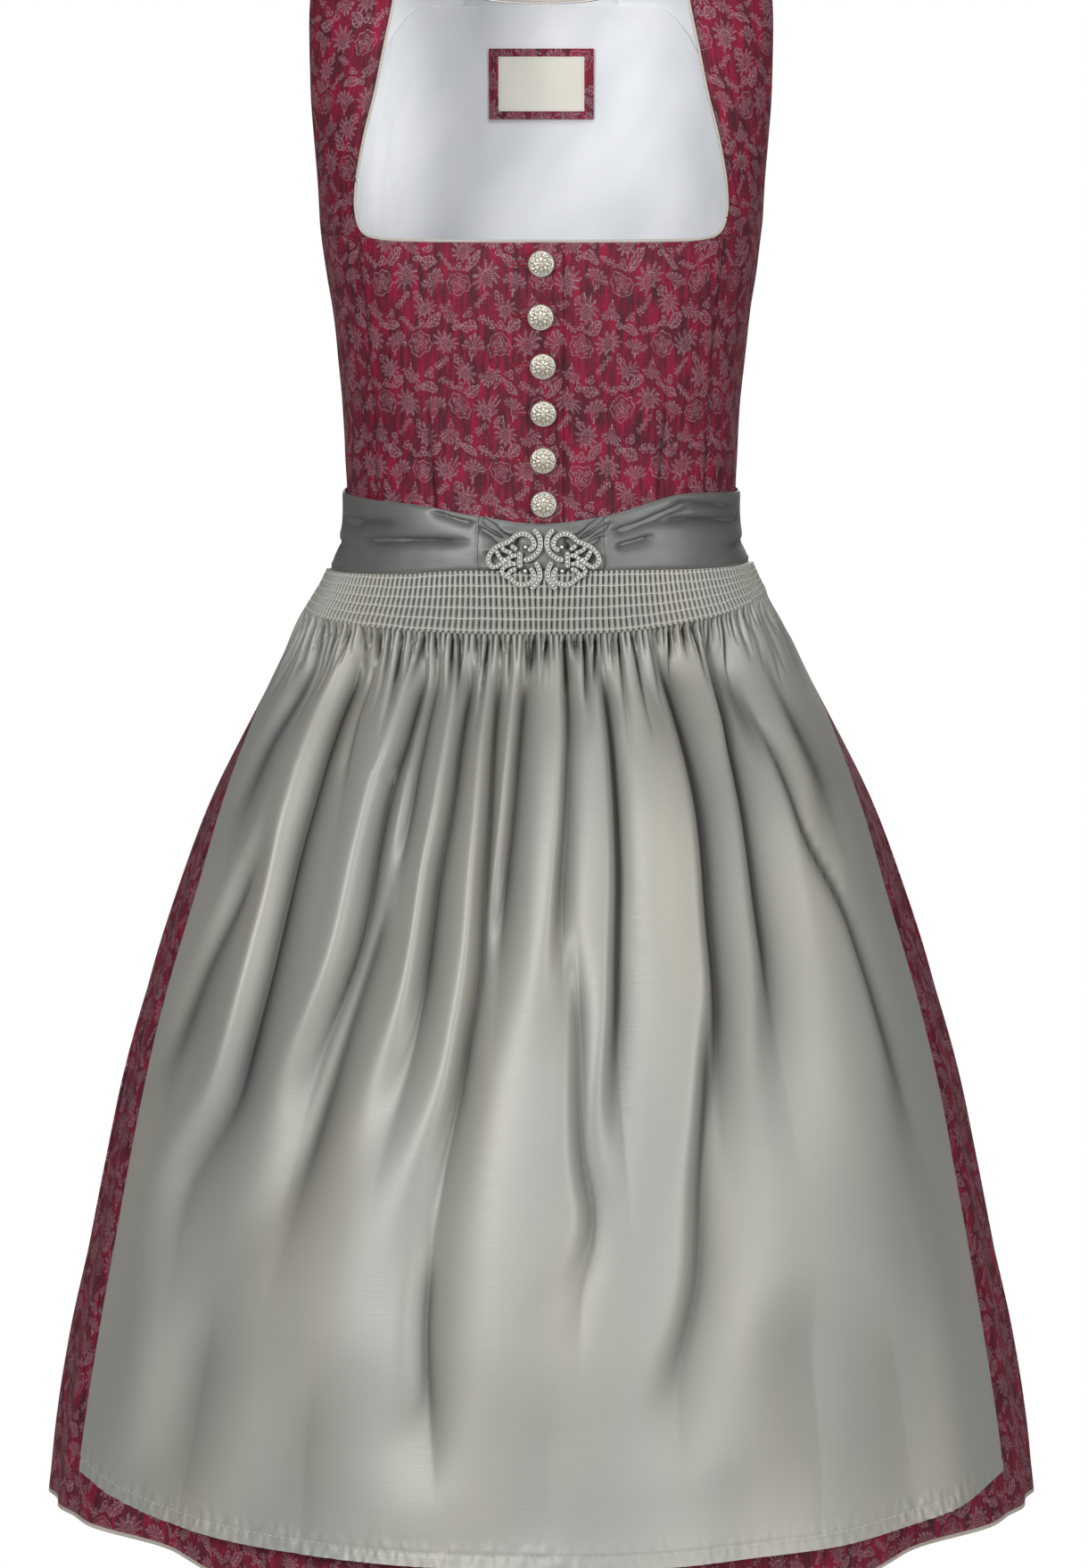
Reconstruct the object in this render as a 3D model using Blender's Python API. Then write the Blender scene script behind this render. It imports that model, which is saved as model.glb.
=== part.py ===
"""A midi dirndl with its apron, filled out as worn and hollow inside.

Metres, +Z up, the front faces -Y and +X is the wearer's left. The origin lies between the straps, where
their undersides rest on the shoulders. All cloth hangs on one body form: a table of superellipse sections.
A place on it is an angle round from the centre front and a station, which is the height below the strap's
outside, bent over the shoulder near the top. Every layer is that form moved outwards or inwards.
"""

import math
from collections import namedtuple

import bmesh
import bpy
import numpy as np

# Heights below the outside of the strap at the shoulder
WAIST = -0.4050
HEM = -1.0670
NECK_BOTTOM = -0.2135
BACK_NECK = -0.0645
UNDERARM = -0.2120
FRONT_CROWN = 0.130
BACK_CROWN = 0.088

# Cloth and clearances
SEAM_GAP = 0.0003
SEAM_CLEARANCE = 1.6
BODICE_WALL = 0.0014
LINING_WALL = 0.0010
LINING_GAP = 0.0014
LINING_REACH = 88.0
LINING_FOOT = -0.4010
LINING_TOP = -0.0655
LINING_SIDE_TOP = -0.2190
SKIRT_WALL = 0.0014
APRON_WALL = 0.0013
BELT_WALL = 0.0016
BELT_GAP = 0.0010
BELT_SEAM = 14.3
BELT_SEAM_GAP = 0.09
TAPE_HEIGHT = 0.0025
PIPING_RADIUS = 0.0009
PIPING_CLEARANCE = 1.25
LAP_EDGE = 0.0140
LAP_RISE = 0.0030
UNDERLAP = -0.0100
LAP_STEP = 0.0017

# Gathers, ribs and folds
RIBS = 64
RIB_FOOT = 0.0016
RIB_RISE = 0.0016
YOKE_INSIDE = 0.0006
APRON_GATHERS = 40
GATHER_RISE = 0.0020
APRON_LIFT = 0.0065
APRON_EDGE_LIFT = 0.0020
UNDER_APRON = 0.0135
UNDER_BELT = 0.0010
BACK_FOLDS = 16
SIDE_FOLDS = 3

# Fittings
BUTTON_RADIUS = 0.0085
BUTTON_HEIGHT = 0.0078
LABEL_SIZE = (0.0708, 0.0474)
CARD_SIZE = (0.0580, 0.0366)
LABEL_TOP = -0.0944
LABEL_WALL = 0.0006
CLASP_MIDDLE = (0.0015, -0.4182)
CLASP_SPLIT = 0.0003
CLASP_BACK = -0.1060
CLASP_TILT = math.radians(8.6)
BAR_WIDTH = 0.0023

SHOULDER_SLOPE = 0.22
SHOULDER_INNER = 0.090
BACK_SEAM_TOP = 0.050
SLOPE_START = -0.120
NUDGE = 0.0004
NUDGE_DEGREES = 0.4
ARC_SAMPLES = 61

Section = namedtuple("Section", "height side front back squareness")
BODY = (
    Section(-1.0700, 0.3315, 0.2665, 0.2665, 1.75),
    Section(-1.0175, 0.3249, 0.2600, 0.2610, 1.75),
    Section(-0.9566, 0.3145, 0.2520, 0.2540, 1.75),
    Section(-0.8957, 0.3022, 0.2430, 0.2460, 1.80),
    Section(-0.8350, 0.2903, 0.2340, 0.2370, 1.80),
    Section(-0.7743, 0.2775, 0.2240, 0.2270, 1.85),
    Section(-0.7137, 0.2611, 0.2120, 0.2150, 1.90),
    Section(-0.6532, 0.2415, 0.1970, 0.2010, 1.90),
    Section(-0.5930, 0.2203, 0.1800, 0.1840, 1.95),
    Section(-0.5330, 0.1915, 0.1560, 0.1630, 2.00),
    Section(-0.5031, 0.1754, 0.1395, 0.1490, 2.00),
    Section(-0.4733, 0.1595, 0.1215, 0.1310, 2.05),
    Section(-0.4583, 0.1505, 0.1130, 0.1200, 2.10),
    Section(-0.4434, 0.1415, 0.1060, 0.1090, 2.20),
    Section(-0.4285, 0.1350, 0.1018, 0.1000, 2.30),
    Section(-0.4137, 0.1308, 0.0995, 0.0920, 2.40),
    Section(-0.4050, 0.1295, 0.0985, 0.0890, 2.40),
    Section(-0.3850, 0.1293, 0.0985, 0.0885, 2.40),
    Section(-0.3550, 0.1303, 0.1010, 0.0900, 2.45),
    Section(-0.3250, 0.1317, 0.1060, 0.0920, 2.55),
    Section(-0.2950, 0.1345, 0.1110, 0.0945, 2.65),
    Section(-0.2650, 0.1376, 0.1160, 0.0965, 2.75),
    Section(-0.2350, 0.1422, 0.1190, 0.0980, 2.85),
    Section(-0.2070, 0.1457, 0.1190, 0.0990, 2.90),
    Section(-0.1780, 0.1487, 0.1170, 0.0995, 2.95),
    Section(-0.1480, 0.1525, 0.1140, 0.0995, 3.00),
    Section(-0.1150, 0.1562, 0.1100, 0.0990, 3.00),
    Section(-0.0600, 0.1580, 0.1000, 0.0970, 3.00),
    Section(0.0000, 0.1580, 0.0920, 0.0920, 3.00),
)

NeckEdge = namedtuple("NeckEdge", "height half_width")
FRONT_NECK = (
    NeckEdge(-0.2115, 0.1130),
    NeckEdge(-0.2090, 0.1165),
    NeckEdge(-0.2050, 0.1193),
    NeckEdge(-0.1980, 0.1213),
    NeckEdge(-0.1900, 0.1221),
    NeckEdge(-0.1800, 0.1216),
    NeckEdge(-0.1650, 0.1195),
    NeckEdge(-0.1450, 0.1155),
    NeckEdge(-0.1170, 0.1084),
    NeckEdge(-0.0880, 0.1026),
    NeckEdge(-0.0600, 0.0970),
    NeckEdge(-0.0300, 0.0925),
    NeckEdge(0.0000, 0.0900),
)
NECK_POWER = 2.6

Armhole = namedtuple("Armhole", "height from_side")
ARMHOLE = (
    Armhole(-0.2120, 0.15),
    Armhole(-0.2085, 3.0),
    Armhole(-0.2000, 6.5),
    Armhole(-0.1850, 10.0),
    Armhole(-0.1650, 13.0),
    Armhole(-0.1400, 15.6),
    Armhole(-0.1200, 17.7),
    Armhole(-0.0900, 19.0),
    Armhole(-0.0600, 19.8),
    Armhole(-0.0300, 23.0),
    Armhole(0.0000, 27.3),
)

Seam = namedtuple("Seam", "height front_angle back_angle")
SEAMS = (
    Seam(-0.4050, 54.0, 139.0),
    Seam(-0.3000, 51.5, 146.0),
    Seam(-0.2115, 48.6, 152.0),
    Seam(-0.0591, 46.0, 169.8),
)

BeltEdge = namedtuple("BeltEdge", "angle top bottom yoke_bottom")
BELT = (
    BeltEdge(-180.0, -0.3840, -0.4360, -0.4620),
    BeltEdge(-90.0, -0.3835, -0.4350, -0.4620),
    BeltEdge(-40.0, -0.3850, -0.4310, -0.4655),
    BeltEdge(-14.0, -0.3920, -0.4268, -0.4665),
    BeltEdge(0.0, -0.3965, -0.4268, -0.4665),
    BeltEdge(14.0, -0.3920, -0.4268, -0.4660),
    BeltEdge(42.0, -0.3790, -0.4280, -0.4600),
    BeltEdge(90.0, -0.3830, -0.4305, -0.4480),
    BeltEdge(180.0, -0.3840, -0.4360, -0.4480),
)

ApronEdge = namedtuple("ApronEdge", "height reach")
APRON_SIDE = (
    ApronEdge(-1.0520, 70.5),
    ApronEdge(-0.9000, 71.0),
    ApronEdge(-0.7500, 71.0),
    ApronEdge(-0.6500, 71.5),
    ApronEdge(-0.5900, 73.5),
    ApronEdge(-0.5500, 77.5),
    ApronEdge(-0.5150, 82.5),
    ApronEdge(-0.4800, 86.5),
    ApronEdge(-0.4400, 88.0),
)
ApronHem = namedtuple("ApronHem", "across height")
APRON_HEM = (
    ApronHem(-1.00, -1.0310),
    ApronHem(-0.75, -1.0460),
    ApronHem(-0.50, -1.0520),
    ApronHem(0.00, -1.0520),
    ApronHem(0.50, -1.0520),
    ApronHem(0.75, -1.0460),
    ApronHem(1.00, -1.0310),
)

# A trough of the apron: three heights and how far across it runs there, from -1 at one edge to 1
Fold = namedtuple("Fold", "top top_at middle middle_at foot foot_at width depth")
APRON_FOLDS = (
    Fold(-0.475, -0.87, -0.56, -0.87, -0.70, -0.87, 0.026, 0.0050),
    Fold(-0.475, -0.71, -0.64, -0.77, -0.92, -0.83, 0.030, 0.0100),
    Fold(-0.465, -0.48, -0.62, -0.53, -0.85, -0.65, 0.026, 0.0105),
    Fold(-0.660, -0.43, -0.76, -0.52, -0.91, -0.64, 0.026, 0.0065),
    Fold(-0.470, -0.27, -0.60, -0.29, -0.80, -0.39, 0.022, 0.0080),
    Fold(-0.475, -0.14, -0.72, -0.19, -1.01, -0.23, 0.026, 0.0085),
    Fold(-0.470, -0.05, -0.60, -0.07, -0.82, -0.07, 0.020, 0.0060),
    Fold(-0.470, 0.11, -0.60, 0.13, -0.88, 0.07, 0.026, 0.0080),
    Fold(-0.475, 0.26, -0.62, 0.24, -0.82, 0.21, 0.020, 0.0095),
    Fold(-0.660, 0.18, -0.76, 0.17, -0.96, 0.08, 0.022, 0.0060),
    Fold(-0.465, 0.38, -0.52, 0.41, -0.61, 0.43, 0.018, 0.0055),
    Fold(-0.470, 0.56, -0.58, 0.56, -0.69, 0.53, 0.022, 0.0080),
    Fold(-0.500, 0.66, -0.68, 0.56, -0.94, 0.46, 0.042, 0.0120),
    Fold(-0.700, 0.44, -0.85, 0.37, -1.04, 0.31, 0.024, 0.0080),
    Fold(-0.500, 0.78, -0.66, 0.88, -0.86, 0.93, 0.020, 0.0060),
    Fold(-0.880, 0.52, -0.95, 0.54, -1.04, 0.55, 0.048, 0.0060),
    Fold(-0.900, -0.74, -0.97, -0.77, -1.05, -0.78, 0.026, 0.0060),
)
Place = namedtuple("Place", "height across")
FOLD_START = 0.035
FOLD_END = 0.110

# Heights of the rows of points between an edge and the next
FRONT_ROWS = (-0.384, -0.345, -0.300, -0.255, -0.230, -0.212, -0.209, -0.203, -0.194, -0.182, -0.165, -0.140)
FRONT_STRAP_ROWS = (-0.110, -0.080, -0.052, -0.028, -0.010)
BACK_ROWS = (-0.384, -0.345, -0.300, -0.255, -0.212, -0.207, -0.198, -0.183, -0.160, -0.125)
BACK_STRAP_ROWS = (-0.090, -0.064, -0.058, -0.050, -0.040, -0.029, -0.015, -0.005)
BACK_RISE = (0.0, 0.06, 0.17, 0.31, 0.46, 0.61, 0.73, 0.83, 0.91, 0.965, 1.0)
SKIRT_ROWS = (-0.950, -0.830, -0.720, -0.620, -0.545, -0.495, -0.462, -0.440, -0.423)

Button = namedtuple("Button", "height aside")
BUTTONS = (
    Button(-0.2268, 0.0000),
    Button(-0.2608, -0.0004),
    Button(-0.2927, 0.0010),
    Button(-0.3237, 0.0014),
    Button(-0.3547, 0.0012),
    Button(-0.3838, 0.0016),
)

# sRGB colour, roughness, metallic
Finish = namedtuple("Finish", "colour roughness metallic")
FINISHES = {
    "jacquard": Finish("7d2240", 0.60, 0.0),
    "lining": Finish("dfe2e6", 0.75, 0.0),
    "piping": Finish("d9d2c4", 0.70, 0.0),
    "card": Finish("dcd6c8", 0.70, 0.0),
    "satin": Finish("5d6160", 0.40, 0.0),
    "taffeta": Finish("a3a39b", 0.42, 0.0),
    "button_metal": Finish("d9d2c3", 0.35, 0.9),
    "clasp_metal": Finish("b9bab6", 0.28, 1.0),
}


def clear_scene():
    """Remove every object of the opened file."""
    for obj in list(bpy.data.objects):
        bpy.data.objects.remove(obj, do_unlink=True)


def material(slot):
    """The Principled material of a finish, made once."""
    made = bpy.data.materials.get(slot)
    if made is None:
        finish = FINISHES[slot]
        made = bpy.data.materials.new(slot)
        made.use_nodes = True
        shader = made.node_tree.nodes["Principled BSDF"]
        srgb = [int(finish.colour[i : i + 2], 16) / 255 for i in (0, 2, 4)]
        linear = [c / 12.92 if c <= 0.04045 else ((c + 0.055) / 1.055) ** 2.4 for c in srgb]
        shader.inputs["Base Color"].default_value = (*linear, 1.0)
        shader.inputs["Roughness"].default_value = finish.roughness
        shader.inputs["Metallic"].default_value = finish.metallic
    return made


def read(table, column, at):
    """A table's column at the given keys, by a monotone cubic. The table's first column is the key."""
    keys = np.array([row[0] for row in table])
    values = np.array([getattr(row, column) for row in table])
    spans = np.diff(keys)
    slopes = np.diff(values) / spans
    tangents = np.zeros(len(keys))
    tangents[0], tangents[-1] = slopes[0], slopes[-1]
    product = slopes[1:] * slopes[:-1]
    total = slopes[1:] + slopes[:-1]
    rising = product > 0
    tangents[1:-1][rising] = 2 * product[rising] / total[rising]
    at = np.clip(at, keys[0], keys[-1])
    index = np.clip(np.searchsorted(keys, at, side="right") - 1, 0, len(spans) - 1)
    span = spans[index]
    t = (at - keys[index]) / span
    start = (1 + 2 * t) * (1 - t) ** 2 * values[index] + t * (1 - t) ** 2 * span * tangents[index]
    end = t**2 * (3 - 2 * t) * values[index + 1] + t**2 * (t - 1) * span * tangents[index + 1]
    return start + end


def ease(value, low, high):
    """0 at or below low, 1 at or past high, smooth between."""
    t = np.clip((value - low) / (high - low), 0.0, 1.0)
    return t * t * (3 - 2 * t)


def body(angle, station):
    """The form's point at an angle in degrees and a station."""
    angle, station = np.broadcast_arrays(np.asarray(angle, float), np.asarray(station, float))
    sine, cosine = np.sin(np.radians(angle)), np.cos(np.radians(angle))
    crown = np.where(cosine < 0, BACK_CROWN, FRONT_CROWN)
    bend = np.maximum(station + crown, 0.0) / crown * math.pi / 2
    height = np.minimum(station, -crown) + crown * np.sin(bend)
    side = read(BODY, "side", height)
    front, back = read(BODY, "front", height), read(BODY, "back", height)
    power = 2 / read(BODY, "squareness", height)
    depth = np.where(cosine < 0, back, front) * np.cos(bend)
    x = side * np.sign(sine) * np.abs(sine) ** power
    y = -depth * np.sign(cosine) * np.abs(cosine) ** power
    slope = SHOULDER_SLOPE * np.maximum(np.abs(x) - SHOULDER_INNER, 0.0)
    z = height - slope * ease(height, SLOPE_START, 0.0) + BODICE_WALL
    return np.stack([x, y, z], axis=-1)


def outward(angle, station):
    """The form's outward direction; level below the waist, so that hems stay level."""
    around = body(angle + NUDGE_DEGREES, station) - body(angle - NUDGE_DEGREES, station)
    upward = body(angle, station + NUDGE) - body(angle, station - NUDGE)
    normal = np.cross(around, upward)
    level = np.broadcast_to(np.asarray(station) < WAIST + NUDGE, normal.shape[:-1])
    normal[..., 2] = np.where(level, 0.0, normal[..., 2])
    return normal / np.linalg.norm(normal, axis=-1, keepdims=True)


def layer(angle, station, offset):
    """Points of a layer that lies the given offset outside the form."""
    angle, station = np.broadcast_arrays(np.asarray(angle, float), np.asarray(station, float))
    offset = np.broadcast_to(offset, angle.shape)
    return body(angle, station) + outward(angle, station) * offset[..., None]


def angle_at(half_width, station, back=False):
    """The angle where the form is half_width from its middle."""
    half_width, station = np.broadcast_arrays(np.asarray(half_width, float), np.asarray(station, float))
    height = height_of(station, BACK_CROWN if back else FRONT_CROWN)
    share = np.clip(np.abs(half_width) / read(BODY, "side", height), 0.0, 1.0)
    angle = np.degrees(np.arcsin(share ** (read(BODY, "squareness", height) / 2)))
    angle = 180.0 - angle if back else angle
    return angle * np.sign(half_width)


def height_of(station, crown):
    """The height at a station."""
    bend = np.maximum(station + crown, 0.0) / crown * math.pi / 2
    return np.minimum(station, -crown) + crown * np.sin(bend)


def station_of(height, crown):
    """The station at a height."""
    rise = np.clip((np.asarray(height) + crown) / crown, 0.0, 1.0)
    return np.where(rise > 0, -crown + crown * np.arcsin(rise) * 2 / math.pi, height)


def spread(left, right, across, station):
    """Angles at shares of the way across, measured along the cloth, at each station."""
    left, right, across, station = np.broadcast_arrays(left, right, across, station)
    steps = np.linspace(0.0, 1.0, ARC_SAMPLES)
    found = np.empty(station.shape)
    for place in np.ndindex(station.shape):
        angles = left[place] + (right[place] - left[place]) * steps
        points = body(angles, station[place])
        lengths = np.concatenate([[0.0], np.cumsum(np.linalg.norm(np.diff(points, axis=0), axis=1))])
        found[place] = np.interp(across[place] * lengths[-1], lengths, angles)
    return found


def new_object(name, mesh, slot, smooth_angle=40.0):
    """Link a bmesh as a named object with its material."""
    bmesh.ops.recalc_face_normals(mesh, faces=mesh.faces)
    data = bpy.data.meshes.new(name)
    mesh.to_mesh(data)
    mesh.free()
    data.shade_smooth()
    data.set_sharp_from_angle(angle=math.radians(smooth_angle))
    data.materials.append(material(slot))
    obj = bpy.data.objects.new(name, data)
    bpy.context.scene.collection.objects.link(obj)
    return obj


def wall(name, outer, inner, slot):
    """One closed wall of cloth between two grids of points, each [row][column]."""
    rows, columns = outer.shape[:2]
    mesh = bmesh.new()
    near = [[mesh.verts.new(point) for point in row] for row in outer]
    far = [[mesh.verts.new(point) for point in row] for row in inner]
    for r in range(rows - 1):
        for c in range(columns - 1):
            mesh.faces.new((near[r][c], near[r][c + 1], near[r + 1][c + 1], near[r + 1][c]))
            mesh.faces.new((far[r + 1][c], far[r + 1][c + 1], far[r][c + 1], far[r][c]))
    rim = [(0, c) for c in range(columns)] + [(r, columns - 1) for r in range(1, rows)]
    rim += [(rows - 1, c) for c in range(columns - 2, -1, -1)] + [(r, 0) for r in range(rows - 2, 0, -1)]
    for (r, c), (next_r, next_c) in zip(rim, rim[1:] + rim[:1]):
        mesh.faces.new((near[next_r][next_c], near[r][c], far[r][c], far[next_r][next_c]))
    return new_object(name, mesh, slot)


def cloth(name, angles, stations, offset, thickness, slot):
    """A wall whose outside lies at offset and whose inside lies thickness further in."""
    offset = np.broadcast_to(offset, np.broadcast(angles, stations).shape)
    outer = layer(angles, stations, offset)
    inner = layer(angles, stations, offset - thickness)
    return wall(name, outer, inner, slot)


def front_neck_angle(station):
    """Angle of the front neck edge of a strap."""
    height = height_of(station, FRONT_CROWN)
    return angle_at(read(FRONT_NECK, "half_width", height), station)


def back_neck_angle(station):
    """Angle of the back neck edge of a strap."""
    height = height_of(station, BACK_CROWN)
    share = np.clip(height / BACK_NECK, 0.0, 1.0)
    half_width = SHOULDER_INNER * (1 - share**NECK_POWER) ** (1 / NECK_POWER)
    return angle_at(half_width, station, back=True)


def build_fronts():
    """The right front laps over the left front, which steps in under it."""
    levels = np.linspace(0.0, 1.0, 8)[:, None]
    gap = SEAM_GAP / 2
    for name, sign, columns in (("bodice_front_right", -1, 9), ("bodice_front_left", 1, 10)):
        rise = levels * np.ones((1, columns))
        station = WAIST + rise * (NECK_BOTTOM - WAIST)
        seam = sign * read(SEAMS, "front_angle", station)
        seam_x = np.abs(body(seam, station)[..., 0]) - gap
        if sign < 0:
            share = np.linspace(0.0, 1.0, columns)[None, :]
            x = -seam_x + share * (LAP_EDGE + seam_x)
            offset = np.zeros(station.shape)
        else:
            step = LAP_EDGE + SEAM_GAP
            past_edge = step + LAP_RISE
            fixed = np.array([UNDERLAP, 0.0, step])
            share = np.linspace(0.0, 1.0, columns - len(fixed))[None, :]
            rest = past_edge + share * (seam_x[:, :1] - past_edge)
            x = np.concatenate([fixed + 0.0 * levels, rest], axis=1)
            offset = -LAP_STEP * (x < past_edge - LAP_RISE / 2)
        corner = ease(np.abs(x), 0.096, 0.1135)
        station = station + rise * corner * 0.0020
        cloth(name, angle_at(x, station), station, offset, BODICE_WALL, "jacquard")


def build_sides():
    """Each side panel runs from the waist up into its strap, to the shoulder seam."""
    share = np.linspace(0.0, 1.0, 7)[None, :]
    for name, sign, back in (
        ("bodice_side_front_right", -1, False),
        ("bodice_side_front_left", 1, False),
        ("bodice_side_back_right", -1, True),
        ("bodice_side_back_left", 1, True),
    ):
        crown = BACK_CROWN if back else FRONT_CROWN
        rows = BACK_ROWS + BACK_STRAP_ROWS if back else FRONT_ROWS + FRONT_STRAP_ROWS
        station = np.array([WAIST, *station_of(np.array(rows), crown), -SEAM_GAP])[:, None]
        height = height_of(station, crown)
        reach = read(ARMHOLE, "from_side", height)
        if back:
            seam = read(SEAMS, "back_angle", height)
            inner = np.where(height < back_top(BACK_SEAM_TOP), seam, back_neck_angle(station))
            outer = 90.0 + reach
            inner = inner - seam_gap_degrees(inner, station)
            outer = outer + seam_gap_degrees(outer, station)
        else:
            seam = read(SEAMS, "front_angle", height)
            inner = np.where(height < FRONT_NECK[0].height, seam, front_neck_angle(station))
            outer = 90.0 - reach
            inner = inner + seam_gap_degrees(inner, station)
            outer = outer - seam_gap_degrees(outer, station)
        angles = sign * spread(inner, outer, share, station)
        cloth(name, angles, station + 0 * share, 0.0, BODICE_WALL, "jacquard")


def seam_gap_degrees(angle, station):
    """Half the seam gap as an angle there, with clearance for the flat faces of both edges."""
    around = body(angle + NUDGE_DEGREES, station) - body(angle - NUDGE_DEGREES, station)
    speed = np.linalg.norm(around, axis=-1)
    return SEAM_CLEARANCE * SEAM_GAP * NUDGE_DEGREES / np.maximum(speed, 1e-5)


def back_top(half_width):
    """Height of the back neckline at a distance from its middle."""
    share = np.clip(np.abs(half_width) / SHOULDER_INNER, 0.0, 1.0)
    return BACK_NECK * (1 - share**NECK_POWER) ** (1 / NECK_POWER)


def build_back():
    """The centre back, up to the shallow neckline."""
    share = np.linspace(0.0, 1.0, 9)[None, :]
    rise = np.array(BACK_RISE)[:, None]
    top = back_top(BACK_SEAM_TOP * (2 * share - 1))
    station = WAIST + rise * (station_of(top, BACK_CROWN) - WAIST)
    seam = read(SEAMS, "back_angle", height_of(station, BACK_CROWN))
    seam = seam + seam_gap_degrees(seam, station)
    angles = spread(seam, 360.0 - seam, share, station)
    cloth("bodice_back", angles, station, 0.0, BODICE_WALL, "jacquard")


def build_lining():
    """The pale back lining, from side seam to side seam."""
    share = np.linspace(0.0, 1.0, 23)[None, :]
    first, last = 180.0 - LINING_REACH, 180.0 + LINING_REACH
    side = np.abs(180.0 - spread(first, last, share, np.array([[UNDERARM]])))
    top = LINING_TOP + (LINING_SIDE_TOP - LINING_TOP) * ease(side, 20.0, 74.0)
    station = LINING_FOOT + np.array(BACK_RISE)[:, None] * (station_of(top, BACK_CROWN) - LINING_FOOT)
    angles = spread(first, last, share, station)
    offset = -BODICE_WALL - LINING_GAP
    cloth("lining_back", angles, station, offset, LINING_WALL, "lining")


def build_label():
    """A bare card on a burgundy mount, sewn inside the back."""
    middle = LABEL_TOP - LABEL_SIZE[1] / 2
    depth = BODICE_WALL + LINING_GAP + LINING_WALL + SEAM_GAP
    for name, size, slot in (("label_mount", LABEL_SIZE, "jacquard"), ("label_card", CARD_SIZE, "card")):
        x = np.linspace(-0.5, 0.5, 5)[None, :] * size[0]
        station = station_of(middle + np.linspace(-0.5, 0.5, 2)[:, None] * size[1], BACK_CROWN)
        angles = angle_at(np.where(np.abs(x) < 1e-6, 1e-6, x), station, back=True)
        angles = np.where(angles < 0, angles + 360.0, angles)
        cloth(name, angles, station + 0 * x, -depth, LABEL_WALL, slot)
        depth += LABEL_WALL + SEAM_GAP


def moved_in(path, distance):
    """A path of x and station moved sideways, to its left as it runs."""
    path = np.array(path)
    ahead = np.gradient(path, axis=0)
    ahead = ahead / np.linalg.norm(ahead, axis=1, keepdims=True)
    return path + distance * np.stack([-ahead[:, 1], ahead[:, 0]], axis=1)


def neck_path():
    """Places for the piping, as x and station: the front from shoulder to shoulder, and the back."""
    clear = PIPING_CLEARANCE * (SEAM_GAP + PIPING_RADIUS)
    heights = (-0.001, -0.018, -0.040, -0.065, -0.090, -0.115, -0.140, -0.165, -0.182, -0.194, -0.203, -0.209)
    strap = [(-read(FRONT_NECK, "half_width", h), float(station_of(h, FRONT_CROWN))) for h in heights]
    bottom = [(-0.1130, -0.2115), (-0.1060, -0.2131)]
    bottom += [(x, NECK_BOTTOM) for x in np.linspace(-0.098, 0.0, 5)]
    half = strap + bottom
    front = half + [(-x, station) for x, station in reversed(half[:-1])]
    widths = (0.0899, 0.0885, 0.0850, 0.0790, 0.0700, 0.0580, 0.0430, 0.0280, 0.0140, 0.0)
    half = [(x, float(station_of(back_top(x), BACK_CROWN))) for x in widths]
    back = half + [(-x, station) for x, station in reversed(half[:-1])]
    return moved_in(front, clear), moved_in(back, -clear)


def build_piping():
    """A thin round piping just inside the whole neck edge."""
    front, back = neck_path()
    points = []
    for path, is_back in ((front, False), (back, True)):
        for x, station in path:
            angle = angle_at(x if abs(x) > 1e-6 else 1e-6, station, back=is_back)
            points.append(layer(angle, station, -BODICE_WALL / 2))
    curve = bpy.data.curves.new("neck_piping", "CURVE")
    curve.dimensions = "3D"
    curve.bevel_depth = PIPING_RADIUS
    curve.bevel_resolution = 0
    spline = curve.splines.new("POLY")
    spline.points.add(len(points) - 1)
    for place, point in zip(spline.points, points):
        place.co = (*point, 1.0)
    spline.use_cyclic_u = True
    curve.materials.append(material("piping"))
    obj = bpy.data.objects.new("neck_piping", curve)
    bpy.context.scene.collection.objects.link(obj)


def skirt_offset(angle, height):
    """How far the folded skirt lies outside the form: pressed in under the apron, pleated at the back."""
    turn = np.abs((angle + 180.0) % 360.0 - 180.0)
    reach = read(APRON_SIDE, "reach", height)
    covered = 1 - ease(turn, reach - 16.0, reach - 2.0)
    below_belt = ease(-height, 0.436, 0.500)
    pressed = -UNDER_APRON * covered * (0.25 + 0.75 * ease(-height, 0.436, 0.560))
    pressed = pressed * ease(-height, 0.405, 0.430) - UNDER_BELT * (1 - ease(-height, 0.436, 0.470))
    pleat_phase = BACK_FOLDS * (turn - 90.0) / 180.0 * 2 * math.pi
    pleat_size = (0.0026 + 0.0085 * ease(-height, 0.47, 0.95)) * ease(turn, 92.0, 108.0)
    side_phase = SIDE_FOLDS * (turn - 90.0) / 20.0 * math.pi
    side_size = 0.0016 * ease(turn, reach - 2.0, reach + 6.0) * (1 - ease(turn, 92.0, 100.0))
    pleats = pleat_size * np.cos(pleat_phase) + side_size * np.cos(side_phase) * ease(-height, 0.5, 0.7)
    return pressed + pleats * below_belt


def build_skirt():
    """The gathered skirt in a front and a back, each with its hem tape."""
    station = np.array([HEM, *SKIRT_ROWS, WAIST - SEAM_GAP])[:, None]
    for name, tape, first, last, columns in (
        ("skirt_front", "hem_tape_front", -90.0, 90.0, 25),
        ("skirt_back", "hem_tape_back", 90.0, 270.0, 4 * BACK_FOLDS + 1),
    ):
        share = np.linspace(0.0, 1.0, columns)[None, :]
        gap = seam_gap_degrees(np.array(90.0), np.array(-0.7))
        angles = spread(first + gap, last - gap, share, station)
        offset = skirt_offset(angles, station)
        cloth(name, angles, station + 0 * share, offset, SKIRT_WALL, "jacquard")
        low_angles = angles[:1]
        low = np.array([[HEM - SEAM_GAP - TAPE_HEIGHT], [HEM - SEAM_GAP]])
        tape_offset = skirt_offset(low_angles, HEM)
        grid = low_angles + 0 * low
        cloth(tape, grid, low + 0 * low_angles, tape_offset + 0 * grid, SKIRT_WALL, "piping")


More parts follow.
